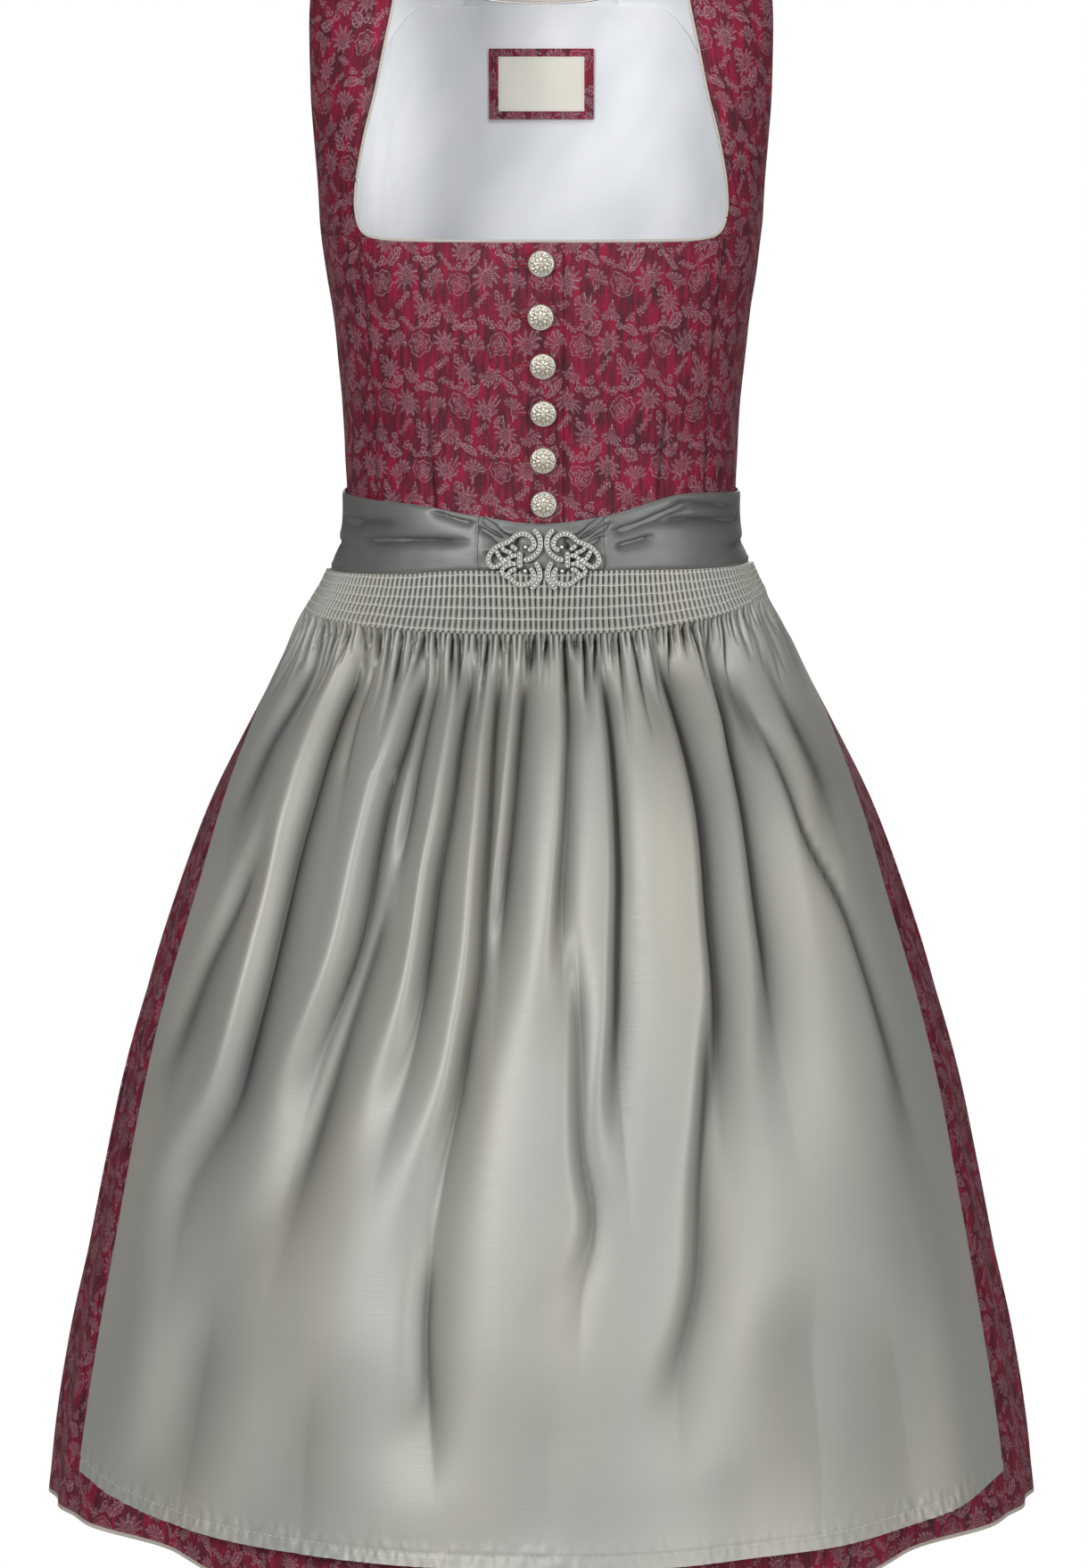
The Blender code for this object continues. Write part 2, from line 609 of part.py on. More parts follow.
def build_yoke():
    """The smocked yoke: ribs raised on its outside over a plain inside."""
    columns = 2 * RIBS + 1
    share = np.linspace(0.0, 1.0, columns)[None, :]
    angle = spread(-88.0, 88.0, share, np.array([[-0.445]]))
    top = read(BELT, "bottom", angle) - SEAM_GAP
    bottom = read(BELT, "yoke_bottom", angle)
    station = bottom + np.linspace(0.0, 1.0, 3)[:, None] * (top - bottom)
    angles = angle + 0 * station
    rib = RIB_FOOT + RIB_RISE * (np.arange(columns) % 2)[None, :]
    outer = layer(angles, station, rib + 0 * station)
    inner = layer(angles, station, YOKE_INSIDE + 0 * station)
    wall("apron_yoke", outer, inner, "taffeta")


def trough(across, height, half_width):
    """Depth of all the apron's troughs at a place."""
    depth = 0.0 * across * height
    for fold in APRON_FOLDS:
        line = (
            Place(fold.foot, fold.foot_at),
            Place(fold.middle, fold.middle_at),
            Place(fold.top, fold.top_at),
        )
        centre = read(line, "across", height)
        begins = ease(-height, -fold.top - 0.010, -fold.top + FOLD_START)
        ends = 1 - ease(-height, -fold.foot - FOLD_END, -fold.foot)
        spreading = fold.width * (0.75 + 0.5 * ease(-height, -fold.top, -fold.foot))
        away = (across - centre) * half_width / spreading
        depth = depth + fold.depth * begins * ends * np.exp(-((1.6 * away) ** 2))
    return depth


def build_apron():
    """The apron's skirt, gathered below the yoke and falling in large soft folds."""
    columns = 2 * APRON_GATHERS + 1
    share = np.linspace(0.0, 1.0, columns)[None, :]
    top_angle = spread(-88.0, 88.0, share, np.array([[-0.470]]))
    top = read(BELT, "yoke_bottom", top_angle) - SEAM_GAP
    across = 2 * share - 1
    bottom = read(APRON_HEM, "height", across)
    drop = np.linspace(0.0, 1.0, 11)[:, None] ** 1.35
    station = top + drop * (bottom - top)
    reach = read(APRON_SIDE, "reach", station)
    angles = spread(-reach, reach, share, station)
    edge = body(reach, station)[..., 0]
    aside = body(angles, station)[..., 0] / edge
    inward = 1 - ease(np.abs(aside), 0.86, 0.985)
    lift = APRON_EDGE_LIFT + (APRON_LIFT - APRON_EDGE_LIFT) * inward * ease(-station, 0.46, 0.56)
    lift = lift + 0.0010 * (1 - ease(-station, 0.46, 0.50))
    gather = GATHER_RISE * ((np.arange(columns) % 2)[None, :] - 0.5) * (1 - ease(-station, 0.47, 0.60))
    folds = trough(aside, station, edge) * (0.15 + 0.85 * inward)
    cloth("apron_skirt", angles, station, lift + gather - folds, APRON_WALL, "taffeta")


def build_belt():
    """The satin belt in three lengths, softly pleated along its height."""
    gap = BELT_SEAM_GAP
    for name, first, last, columns in (
        ("belt_centre", -BELT_SEAM + gap, BELT_SEAM - gap, 11),
        ("belt_left", BELT_SEAM + gap, 180.0 - gap, 23),
        ("belt_right", -180.0 + gap, -BELT_SEAM - gap, 23),
    ):
        share = np.linspace(0.0, 1.0, columns)[None, :]
        angle = spread(first, last, share, np.array([[-0.41]]))
        top, bottom = read(BELT, "top", angle), read(BELT, "bottom", angle)
        rise = np.linspace(0.0, 1.0, 5)[:, None]
        station = bottom + rise * (top - bottom)
        soft = 0.0007 * np.sin(rise * 2.5 * math.pi + angle / 23.0) * np.sin(rise * math.pi)
        gathered = 0.0008 * np.cos(angle / BELT_SEAM * 2 * math.pi) * np.sin(rise * math.pi)
        relief = gathered if name == "belt_centre" else soft
        angles = angle + 0 * station
        outer = layer(angles, station, BELT_GAP + BELT_WALL + relief)
        inner = layer(angles, station, BELT_GAP + 0 * station)
        wall(name, outer, inner, "satin")


def build_button(name, height, aside):
    """A domed button on its shank, turned about the line out of the cloth."""
    sides = 10
    shank, under = 0.0026, 0.0022
    profile = [(shank, 0.0), (shank, under), (BUTTON_RADIUS * 0.94, under + 0.0003)]
    profile.append((BUTTON_RADIUS, under + 0.0012))
    for step in (0.35, 0.65, 0.88):
        turn = step * math.pi / 2
        rise = (BUTTON_HEIGHT - under - 0.0012) * math.sin(turn)
        profile.append((BUTTON_RADIUS * math.cos(turn), under + 0.0012 + rise))
    mesh = bmesh.new()
    rings = []
    for radius, out in profile:
        turns = [2 * math.pi * k / sides for k in range(sides)]
        rings.append([mesh.verts.new((radius * math.cos(t), -out, radius * math.sin(t))) for t in turns])
    for low, high in zip(rings, rings[1:]):
        for k in range(sides):
            mesh.faces.new((low[k], low[(k + 1) % sides], high[(k + 1) % sides], high[k]))
    mesh.faces.new(rings[0])
    tip = mesh.verts.new((0.0, -BUTTON_HEIGHT, 0.0))
    for k in range(sides):
        mesh.faces.new((rings[-1][k], rings[-1][(k + 1) % sides], tip))
    obj = new_object(name, mesh, "button_metal")
    angle = angle_at(aside if abs(aside) > 1e-6 else 1e-6, height)
    place = layer(angle, height, SEAM_GAP)
    lean = outward(np.asarray(angle, float), np.asarray(height, float))
    obj.location = place
    obj.rotation_euler = (math.atan2(-lean[2], -lean[1]), 0.0, 0.0)


def arc(middle, radius, first, last, steps):
    """Points of an arc, in degrees, across and up."""
    turns = np.radians(np.linspace(first, last, steps))
    return [(middle[0] + radius * math.cos(t), middle[1] + radius * math.sin(t)) for t in turns]


def volute(middle, radius, first, last, curl, steps):
    """Points of a scroll whose radius shrinks by curl from its first turn to its last."""
    turns = np.radians(np.linspace(first, last, steps))
    sizes = radius * (1 - curl * np.linspace(0.0, 1.0, steps))
    return [(middle[0] + r * math.cos(t), middle[1] + r * math.sin(t)) for r, t in zip(sizes, turns)]


def bar(name, points, width, depth, back, sign):
    """A flat bar swept along points in the clasp's plane, closed at both ends."""
    points = np.array(points)
    ahead = np.gradient(points, axis=0)
    ahead = ahead / np.linalg.norm(ahead, axis=1, keepdims=True)
    beside = np.stack([-ahead[:, 1], ahead[:, 0]], axis=1) * width / 2
    mesh = bmesh.new()
    rings = []
    for point, side in zip(points, beside):
        corners = [(point + side, back), (point - side, back)]
        corners += [(point - 0.6 * side, back - depth), (point + 0.6 * side, back - depth)]
        rings.append([mesh.verts.new((sign * p[0], y, p[1])) for p, y in corners])
    for low, high in zip(rings, rings[1:]):
        for k in range(4):
            mesh.faces.new((low[k], low[(k + 1) % 4], high[(k + 1) % 4], high[k]))
    mesh.faces.new(rings[0])
    mesh.faces.new(rings[-1])
    return new_object(name, mesh, "clasp_metal")


def clasp_bars():
    """The scrolls and lattice of one half, in metres across from the split and up from the middle."""
    mm = 0.001
    upper, lower = (12.4 * mm, 8.8 * mm), (12.0 * mm, -11.8 * mm)
    spine_top = arc((13.0 * mm, 10.2 * mm), 11.3 * mm, 130.0, 236.0, 7)
    spine_low = arc((12.6 * mm, -11.9 * mm), 11.3 * mm, 124.0, 232.0, 7)
    rim_top = arc((20.6 * mm, -5.6 * mm), 17.2 * mm, 97.0, 17.0, 7)
    rim_tip = arc((30.0 * mm, -2.2 * mm), 7.4 * mm, 12.0, -40.0, 4)
    rim_low = arc((20.0 * mm, 1.6 * mm), 16.9 * mm, -102.0, -30.0, 7)
    return (
        (spine_top + [(9.5 * mm, -0.7 * mm), (14.0 * mm, -0.9 * mm)], 3.00 * mm),
        ([(9.3 * mm, -1.0 * mm)] + spine_low, 2.95 * mm),
        (volute(upper, 6.6 * mm, 20.0, 300.0, 0.42, 11), 2.75 * mm),
        (volute(lower, 6.0 * mm, -30.0, -300.0, 0.42, 11), 2.70 * mm),
        (rim_top + rim_tip, 2.90 * mm),
        (rim_low, 2.85 * mm),
        ([(14.6 * mm, 5.6 * mm), (14.6 * mm, -8.2 * mm)], 2.60 * mm),
        ([(14.8 * mm, 2.6 * mm), (20.0 * mm, 5.2 * mm), (25.0 * mm, 9.6 * mm)], 2.50 * mm),
        ([(14.8 * mm, -3.4 * mm), (22.5 * mm, -0.6 * mm), (31.5 * mm, 6.0 * mm)], 2.45 * mm),
        ([(14.8 * mm, 1.0 * mm), (22.5 * mm, -2.4 * mm), (31.0 * mm, -9.5 * mm)], 2.40 * mm),
        ([(14.8 * mm, -6.6 * mm), (20.0 * mm, -8.6 * mm), (24.5 * mm, -13.2 * mm)], 2.35 * mm),
    )


def build_clasp():
    """Two mirrored scroll halves that meet over the belt's gathered centre."""
    for name, sign in (("clasp_left", 1), ("clasp_right", -1)):
        bars = []
        for number, (points, depth) in enumerate(clasp_bars()):
            shifted = [(x + CLASP_SPLIT, z) for x, z in points]
            piece = bar(f"{name}_{number}", shifted, BAR_WIDTH, depth, 0.0, sign)
            piece.location = (CLASP_MIDDLE[0], CLASP_BACK, CLASP_MIDDLE[1])
            piece.rotation_euler = (-CLASP_TILT, 0.0, 0.0)
            bars.append(piece)
        whole = bars[0]
        whole.name = name
        for piece in bars[1:]:
            join = whole.modifiers.new(piece.name, "BOOLEAN")
            join.operation = "UNION"
            join.object = piece
            piece.hide_render = True
            piece.display_type = "WIRE"


def build_buttons():
    """The six buttons down the lap."""
    for number, button in enumerate(BUTTONS, start=1):
        build_button(f"button_{number}", button.height, button.aside)


clear_scene()
build_fronts()
build_sides()
build_back()
build_lining()
build_label()
build_piping()
build_skirt()
build_yoke()
build_apron()
build_belt()
build_buttons()
build_clasp()
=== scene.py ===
"""A midi dirndl with its apron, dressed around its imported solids.

The dress is jacquard cloth with a pale cotton lining, a dark satin belt under a silver clasp set with stones,
and an apron of pale taffeta, smocked below the belt. All cloth hangs on the one body form that the solids
have: a table of superellipse sections. A place on it is an angle round from the centre front and a station,
the height below the strap's outside, bent over the shoulder near the top.
"""

import logging
import math
from collections.abc import Sequence
from dataclasses import dataclass
from enum import Enum
from typing import NamedTuple

import bmesh
import bpy
import numpy as np
from bpy.types import Material, Mesh, Node, NodeSocket, NodeTree, Object
from mathutils import Matrix, Vector

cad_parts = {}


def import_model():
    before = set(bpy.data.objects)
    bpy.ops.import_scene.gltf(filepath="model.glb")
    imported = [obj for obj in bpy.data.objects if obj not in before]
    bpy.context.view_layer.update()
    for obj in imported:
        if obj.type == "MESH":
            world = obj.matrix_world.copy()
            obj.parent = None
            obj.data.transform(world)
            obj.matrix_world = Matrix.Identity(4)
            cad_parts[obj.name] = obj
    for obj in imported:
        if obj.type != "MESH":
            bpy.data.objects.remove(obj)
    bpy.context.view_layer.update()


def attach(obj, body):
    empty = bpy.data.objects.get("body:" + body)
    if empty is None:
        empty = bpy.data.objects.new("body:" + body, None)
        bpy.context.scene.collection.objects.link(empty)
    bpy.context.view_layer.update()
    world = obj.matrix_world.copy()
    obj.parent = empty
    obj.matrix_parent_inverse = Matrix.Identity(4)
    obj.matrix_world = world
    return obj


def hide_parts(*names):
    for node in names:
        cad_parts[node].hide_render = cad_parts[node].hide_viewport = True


log = logging.getLogger("dirndl")

Array = np.ndarray
BODY_NAME = "root"
UV_NAME = "cloth"
MM = 0.001

# Heights below the outside of the strap at the shoulder, as in the solids
WAIST = -0.4050
HEM = -1.0670
NECK_BOTTOM = -0.2135
BACK_NECK = -0.0645
UNDERARM = -0.2120
SHOULDER_INNER = 0.090
SEAM_GAP = 0.00012
CLOTH_WALL = 0.0014


class Section(NamedTuple):
    """A level section of the body form: half sizes in metres, and how square it is."""

    height: float
    side: float
    front: float
    back: float
    squareness: float


BODY = tuple(
    Section(*row)
    for row in (
        (-1.0700, 0.3315, 0.2665, 0.2665, 1.75), (-1.0175, 0.3249, 0.2600, 0.2610, 1.75),
        (-0.9566, 0.3145, 0.2520, 0.2540, 1.75), (-0.8957, 0.3022, 0.2430, 0.2460, 1.80),
        (-0.8350, 0.2903, 0.2340, 0.2370, 1.80), (-0.7743, 0.2775, 0.2240, 0.2270, 1.85),
        (-0.7137, 0.2611, 0.2120, 0.2150, 1.90), (-0.6532, 0.2415, 0.1970, 0.2010, 1.90),
        (-0.5930, 0.2203, 0.1800, 0.1840, 1.95), (-0.5330, 0.1915, 0.1560, 0.1630, 2.00),
        (-0.5031, 0.1754, 0.1395, 0.1490, 2.00), (-0.4733, 0.1595, 0.1215, 0.1310, 2.05),
        (-0.4583, 0.1505, 0.1130, 0.1200, 2.10), (-0.4434, 0.1415, 0.1060, 0.1090, 2.20),
        (-0.4285, 0.1350, 0.1018, 0.1000, 2.30), (-0.4137, 0.1308, 0.0995, 0.0920, 2.40),
        (-0.4050, 0.1295, 0.0985, 0.0890, 2.40), (-0.3850, 0.1293, 0.0985, 0.0885, 2.40),
        (-0.3550, 0.1303, 0.1010, 0.0900, 2.45), (-0.3250, 0.1317, 0.1060, 0.0920, 2.55),
        (-0.2950, 0.1345, 0.1110, 0.0945, 2.65), (-0.2650, 0.1376, 0.1160, 0.0965, 2.75),
        (-0.2350, 0.1422, 0.1190, 0.0980, 2.85), (-0.2070, 0.1457, 0.1190, 0.0990, 2.90),
        (-0.1780, 0.1487, 0.1170, 0.0995, 2.95), (-0.1480, 0.1525, 0.1140, 0.0995, 3.00),
        (-0.1150, 0.1562, 0.1100, 0.0990, 3.00), (-0.0600, 0.1580, 0.1000, 0.0970, 3.00),
        (0.0000, 0.1580, 0.0920, 0.0920, 3.00),
    )
)


class Edge(NamedTuple):
    """A point of an edge line: its height, and where it runs there, in the line's own measure."""

    height: float
    at: float


def edge(*points: tuple[float, float]) -> tuple[Edge, ...]:
    """An edge line through points of height and place, from the lowest up."""
    return tuple(Edge(*point) for point in points)


FRONT_NECK = edge(
    (-0.2115, 0.1130), (-0.2090, 0.1165), (-0.2050, 0.1193), (-0.1980, 0.1213), (-0.1900, 0.1221),
    (-0.1800, 0.1216), (-0.1650, 0.1195), (-0.1450, 0.1155), (-0.1170, 0.1084), (-0.0880, 0.1026),
    (-0.0600, 0.0970), (-0.0300, 0.0925), (0.0000, 0.0900),
)
ARMHOLE = edge(
    (-0.2120, 0.0), (-0.2085, 3.0), (-0.2000, 6.5), (-0.1850, 10.0), (-0.1650, 13.0), (-0.1400, 15.6),
    (-0.1200, 17.7), (-0.0900, 19.0), (-0.0600, 19.8), (-0.0300, 23.0), (0.0000, 27.3),
)
FRONT_SEAM = edge((-0.4050, 54.0), (-0.3000, 51.5), (-0.2115, 48.6), (-0.0591, 46.0))
BACK_SEAM = edge((-0.4050, 139.0), (-0.3000, 146.0), (-0.2115, 152.0), (-0.0591, 169.8))
APRON_SIDE = edge(
    (-1.0520, 70.5), (-0.9000, 71.0), (-0.7500, 71.0), (-0.6500, 71.5), (-0.5900, 73.5), (-0.5500, 77.5),
    (-0.5150, 82.5), (-0.4800, 86.5), (-0.4400, 88.0),
)


class HemPoint(NamedTuple):
    """A point of the apron's hem, from one side edge at -1 to the other at 1."""

    across: float
    height: float


APRON_HEM = tuple(
    HemPoint(*row)
    for row in (
        (-1.0, -1.031), (-0.75, -1.046), (-0.5, -1.052), (0.5, -1.052), (0.75, -1.046), (1.0, -1.031),
    )
)


class BeltEdge(NamedTuple):
    """The belt's two edges and the yoke's lower edge at an angle."""

    angle: float
    top: float
    bottom: float
    yoke_bottom: float


BELT = tuple(
    BeltEdge(*row)
    for row in (
        (-180.0, -0.3840, -0.4360, -0.4620), (-90.0, -0.3835, -0.4350, -0.4620),
        (-40.0, -0.3850, -0.4310, -0.4655), (-14.0, -0.3920, -0.4268, -0.4665),
        (0.0, -0.3965, -0.4268, -0.4665), (14.0, -0.3920, -0.4268, -0.4660),
        (42.0, -0.3790, -0.4280, -0.4600), (90.0, -0.3830, -0.4305, -0.4480),
        (180.0, -0.3840, -0.4360, -0.4480),
    )
)


class Side(Enum):
    """The wearer's side."""

    RIGHT = -1
    LEFT = 1

    @property
    def word(self) -> str:
        """The side as a name has it."""
        return self.name.lower()


class Unit(Enum):
    """The small shape that a scatter tree repeats."""

    STITCH = "stitch"
    BEAD = "bead"
    STONE = "stone"


class Motif(Enum):
    """A woven motif of the jacquard."""

    ROSETTE = "rosette"
    THISTLE = "thistle"
    FAN = "fan"
    LEAF = "leaf"
    BUD = "bud"
    SPRIG = "sprig"


def hermite(keys: Array, values: Array, slopes: Array, at: Array) -> Array:
    """A smooth curve through values.

    Args:
        keys: where along it each value stands, rising.
        values: the value at each key, a number or a row of them.
        slopes: the curve's slope at each key.
        at: the keys to read it at.

    Returns:
        The curve there.
    """
    index = np.clip(np.searchsorted(keys, at, side="right") - 1, 0, len(keys) - 2)
    span = keys[index + 1] - keys[index]
    t = (at - keys[index]) / span
    if values.ndim > 1:
        span, t = span[:, None], t[:, None]
    start = (1 + 2 * t) * (1 - t) ** 2 * values[index] + t * (1 - t) ** 2 * span * slopes[index]
    return start + t**2 * (3 - 2 * t) * values[index + 1] + t**2 * (t - 1) * span * slopes[index + 1]


def monotone(table: Sequence[NamedTuple], column: str, at: Array | float) -> Array:
    """Read a table by a monotone cubic.

    Args:
        table: rows whose first column is the key, rising.
        column: the name of the column to read.
        at: the keys to read it at.

    Returns:
        The column's values there.
    """
    keys = np.array([row[0] for row in table])
    values = np.array([getattr(row, column) for row in table])
    slopes = np.diff(values) / np.diff(keys)
    tangents = np.zeros(len(keys))
    tangents[0], tangents[-1] = slopes[0], slopes[-1]
    product, total = slopes[1:] * slopes[:-1], slopes[1:] + slopes[:-1]
    rising = product > 0
    tangents[1:-1][rising] = 2 * product[rising] / total[rising]
    return hermite(keys, values, tangents, np.clip(at, keys[0], keys[-1]))


def ease(value: Array | float, low: float | Array, high: float | Array) -> Array:
    """A smooth step: 0 at or below low, 1 at or past high."""
    t = np.clip((value - low) / (high - low), 0.0, 1.0)
    return t * t * (3 - 2 * t)


def soft_noise(x: Array, y: Array, seed: int) -> Array:
    """Value noise from -1 to 1 over unit cells.

    Args:
        x: places across, in cells.
        y: places up, in cells.
        seed: the fixed seed of the lattice.

    Returns:
        The noise at each place.
    """
    cells = 64
    lattice = np.random.default_rng(seed).uniform(-1.0, 1.0, (cells, cells))
    x, y = np.broadcast_arrays(x, y)
    left, low = np.floor(x).astype(int), np.floor(y).astype(int)
    fx, fy = ease(x - left, 0.0, 1.0), ease(y - low, 0.0, 1.0)

    def corner(i: int, j: int) -> Array:
        """The lattice value at a corner of each cell."""
        return lattice[(left + i) % cells, (low + j) % cells]

    below = corner(0, 0) * (1 - fx) + corner(1, 0) * fx
    above = corner(0, 1) * (1 - fx) + corner(1, 1) * fx
    return below * (1 - fy) + above * fy


def run_length(points: Array, axis: int) -> Array:
    """The length along a grid's rows or columns, from its first point.

    Args:
        points: the points, with a last axis of three.
        axis: the axis to measure along.

    Returns:
        The length at each point.
    """
    steps = np.linalg.norm(np.diff(points, axis=axis), axis=-1)
    start = np.zeros_like(np.take(steps, [0], axis=axis))
    return np.concatenate([start, np.cumsum(steps, axis=axis)], axis=axis)


def shares(count: int) -> Array:
    """Even shares from 0 to 1, as a row."""
    return np.linspace(0.0, 1.0, count)[None, :]


def resampled(line: Array, at: Array, values: Array) -> Array:
    """Read values that go with a line's points at distances along the line.

    Args:
        line: the line's points.
        at: the distances.
        values: a row of values for each point, such as the points themselves.

    Returns:
        A row of values for each distance.
    """
    length = run_length(line, axis=0)
    return np.stack([np.interp(at, length, column) for column in values.T], axis=1)


def frame_along(path: Array) -> Array:
    """The direction along a path at each point."""
    ahead = np.gradient(np.asarray(path, float), axis=0)
    return ahead / np.linalg.norm(ahead, axis=1, keepdims=True)


@dataclass(frozen=True)
class BodyForm:
    """The form that all the cloth hangs on."""

    front_crown: float = 0.130
    back_crown: float = 0.088
    shoulder_slope: float = 0.22
    slope_start: float = -0.120
    neck_power: float = 2.6
    nudge: float = 0.0004
    nudge_degrees: float = 0.4
    samples: int = 121

    def height_of(self, station: Array | float, crown: float | Array) -> Array:
        """The height at a station, under a crown of the given height."""
        bend = np.maximum(np.asarray(station) + crown, 0.0) / crown * math.pi / 2
        return np.minimum(station, -crown) + crown * np.sin(bend)

    def station_of(self, height: Array | float, crown: float) -> Array:
        """The station at a height, under a crown of the given height."""
        rise = np.clip((np.asarray(height) + crown) / crown, 0.0, 1.0)
        return np.where(rise > 0, -crown + crown * np.arcsin(rise) * 2 / math.pi, height)

    def point(self, angle: Array | float, station: Array | float) -> Array:
        """The form's point at an angle in degrees and a station.

        Args:
            angle: degrees round from the centre front, to the wearer's left.
            station: the place's station.

        Returns:
            Points, with a last axis of three.
        """
        angle, station = np.broadcast_arrays(np.asarray(angle, float), np.asarray(station, float))
        sine, cosine = np.sin(np.radians(angle)), np.cos(np.radians(angle))
        crown = np.where(cosine < 0, self.back_crown, self.front_crown)
        height = self.height_of(station, crown)
        bend = np.maximum(station + crown, 0.0) / crown * math.pi / 2
        power = 2 / monotone(BODY, "squareness", height)
        front, back = monotone(BODY, "front", height), monotone(BODY, "back", height)
        depth = np.where(cosine < 0, back, front) * np.cos(bend)
        x = monotone(BODY, "side", height) * np.sign(sine) * np.abs(sine) ** power
        y = -depth * np.sign(cosine) * np.abs(cosine) ** power
        slope = self.shoulder_slope * np.maximum(np.abs(x) - SHOULDER_INNER, 0.0)
        z = height - slope * ease(height, self.slope_start, 0.0) + CLOTH_WALL
        return np.stack([x, y, z], axis=-1)

    def outward(self, angle: Array | float, station: Array | float) -> Array:
        """The outward direction, level below the waist so that hems stay level.

        Args:
            angle: degrees round from the centre front.
            station: the place's station.

        Returns:
            Directions of length 1.
        """
        turn = self.nudge_degrees
        around = self.point(angle + turn, station) - self.point(angle - turn, station)
        upward = self.point(angle, station + self.nudge) - self.point(angle, station - self.nudge)
        normal = np.cross(around, upward)
        level = np.broadcast_to(np.asarray(station) < WAIST + self.nudge, normal.shape[:-1])
        normal[..., 2] = np.where(level, 0.0, normal[..., 2])
        return normal / np.linalg.norm(normal, axis=-1, keepdims=True)

    def layer(self, angle: Array | float, station: Array | float, offset: Array | float) -> Array:
        """Points of a layer that lies the given offset outside the form."""
        angle, station = np.broadcast_arrays(np.asarray(angle, float), np.asarray(station, float))
        offset = np.broadcast_to(offset, angle.shape)
        return self.point(angle, station) + self.outward(angle, station) * offset[..., None]

    def angle_at(self, half_width: Array | float, station: Array | float, back: bool = False) -> Array:
        """The angle at a distance from the middle.

        Args:
            half_width: the distance, below 0 on the wearer's right.
            station: the place's station.
            back: whether it is measured at the back.

        Returns:
            The angle in degrees.
        """
        half_width, station = np.broadcast_arrays(np.asarray(half_width, float), np.asarray(station, float))
        height = self.height_of(station, self.back_crown if back else self.front_crown)
        share = np.clip(np.abs(half_width) / monotone(BODY, "side", height), 0.0, 1.0)
        angle = np.degrees(np.arcsin(share ** (monotone(BODY, "squareness", height) / 2)))
        return (180.0 - angle if back else angle) * np.where(half_width < 0, -1.0, 1.0)

    def spread(self, left: Array | float, right: Array | float, share: Array, station: Array) -> Array:
        """Angles at shares of the way across, measured along the cloth.

        Args:
            left: the angle at share 0, for each row or place.
            right: the angle at share 1.
            share: shares across, from 0 to 1.
            station: the station of each place.

        Returns:
            The angle of each place.
        """
        left, right, share, station = np.broadcast_arrays(left, right, share, station)
        steps = np.linspace(0.0, 1.0, self.samples)
        middle = np.median(station, axis=1)[:, None]
        first, last = left.mean(axis=1)[:, None], right.mean(axis=1)[:, None]
        lengths = run_length(self.point(first + (last - first) * steps, middle), axis=1)
        turned = [np.interp(row * length[-1], length, steps) for row, length in zip(share, lengths)]
        return left + (right - left) * np.array(turned)

    def front_neck_angle(self, station: Array) -> Array:
        """The angle of the neck edge of a front strap."""
        height = self.height_of(station, self.front_crown)
        return self.angle_at(monotone(FRONT_NECK, "at", height), station)

    def back_top(self, half_width: Array | float) -> Array:
        """The height of the back neckline at a distance from its middle."""
        share = np.clip(np.abs(half_width) / SHOULDER_INNER, 0.0, 1.0)
        return BACK_NECK * (1 - share**self.neck_power) ** (1 / self.neck_power)

    def back_neck_angle(self, station: Array) -> Array:
        """The angle of the neck edge of a back strap."""
        share = np.clip(self.height_of(station, self.back_crown) / BACK_NECK, 0.0, 1.0)
        half_width = SHOULDER_INNER * (1 - share**self.neck_power) ** (1 / self.neck_power)
        return self.angle_at(half_width, station, back=True)

    def gap_degrees(self, angle: Array, station: Array) -> Array:
        """Half the seam gap, as an angle there."""
        nudge = 0.01 * self.nudge_degrees
        around = self.point(angle + nudge, station) - self.point(angle - nudge, station)
        return SEAM_GAP * nudge / np.maximum(np.linalg.norm(around, axis=-1), 1e-7)


FORM = BodyForm()


def linear(colour: str) -> tuple[float, float, float, float]:
    """An sRGB hex colour as linear RGBA."""
    srgb = [int(colour[i : i + 2], 16) / 255 for i in (0, 2, 4)]
    return (*[c / 12.92 if c <= 0.04045 else ((c + 0.055) / 1.055) ** 2.4 for c in srgb], 1.0)


def feed(tree: NodeTree, node: Node, inputs: dict) -> None:
    """Give a node's inputs their values, or link them.

    Args:
        tree: the node's tree.
        node: the node.
        inputs: socket name or number to a value, or to the socket or field that feeds it.
    """
    for key, value in inputs.items():
        value = value.socket if isinstance(value, Field) else value
        if isinstance(value, NodeSocket):
            tree.links.new(value, node.inputs[key])
        else:
            node.inputs[key].default_value = value


def add(
    tree: NodeTree,
    kind: str,
    inputs: dict | None = None,
    stops: Sequence[tuple[float, str]] = (),
    **settings: object,
) -> Node:
    """Add a node with its settings, values and links.

    Args:
        tree: the node tree.
        kind: the node's type name.
        inputs: socket name or number to a value, or to the socket or field that feeds it.
        stops: the places and sRGB hex colours of its colour ramp, where it has one.
        settings: the node's own properties.

    Returns:
        The new node.
    """
    node = tree.nodes.new(kind)
    for name, value in settings.items():
        setattr(node, name, value)
    for number, (place, colour) in enumerate(stops):
        elements = node.color_ramp.elements
        element = elements[number] if number < 2 else elements.new(place)
        element.position, element.color = place, linear(colour)
    feed(tree, node, inputs or {})
    return node


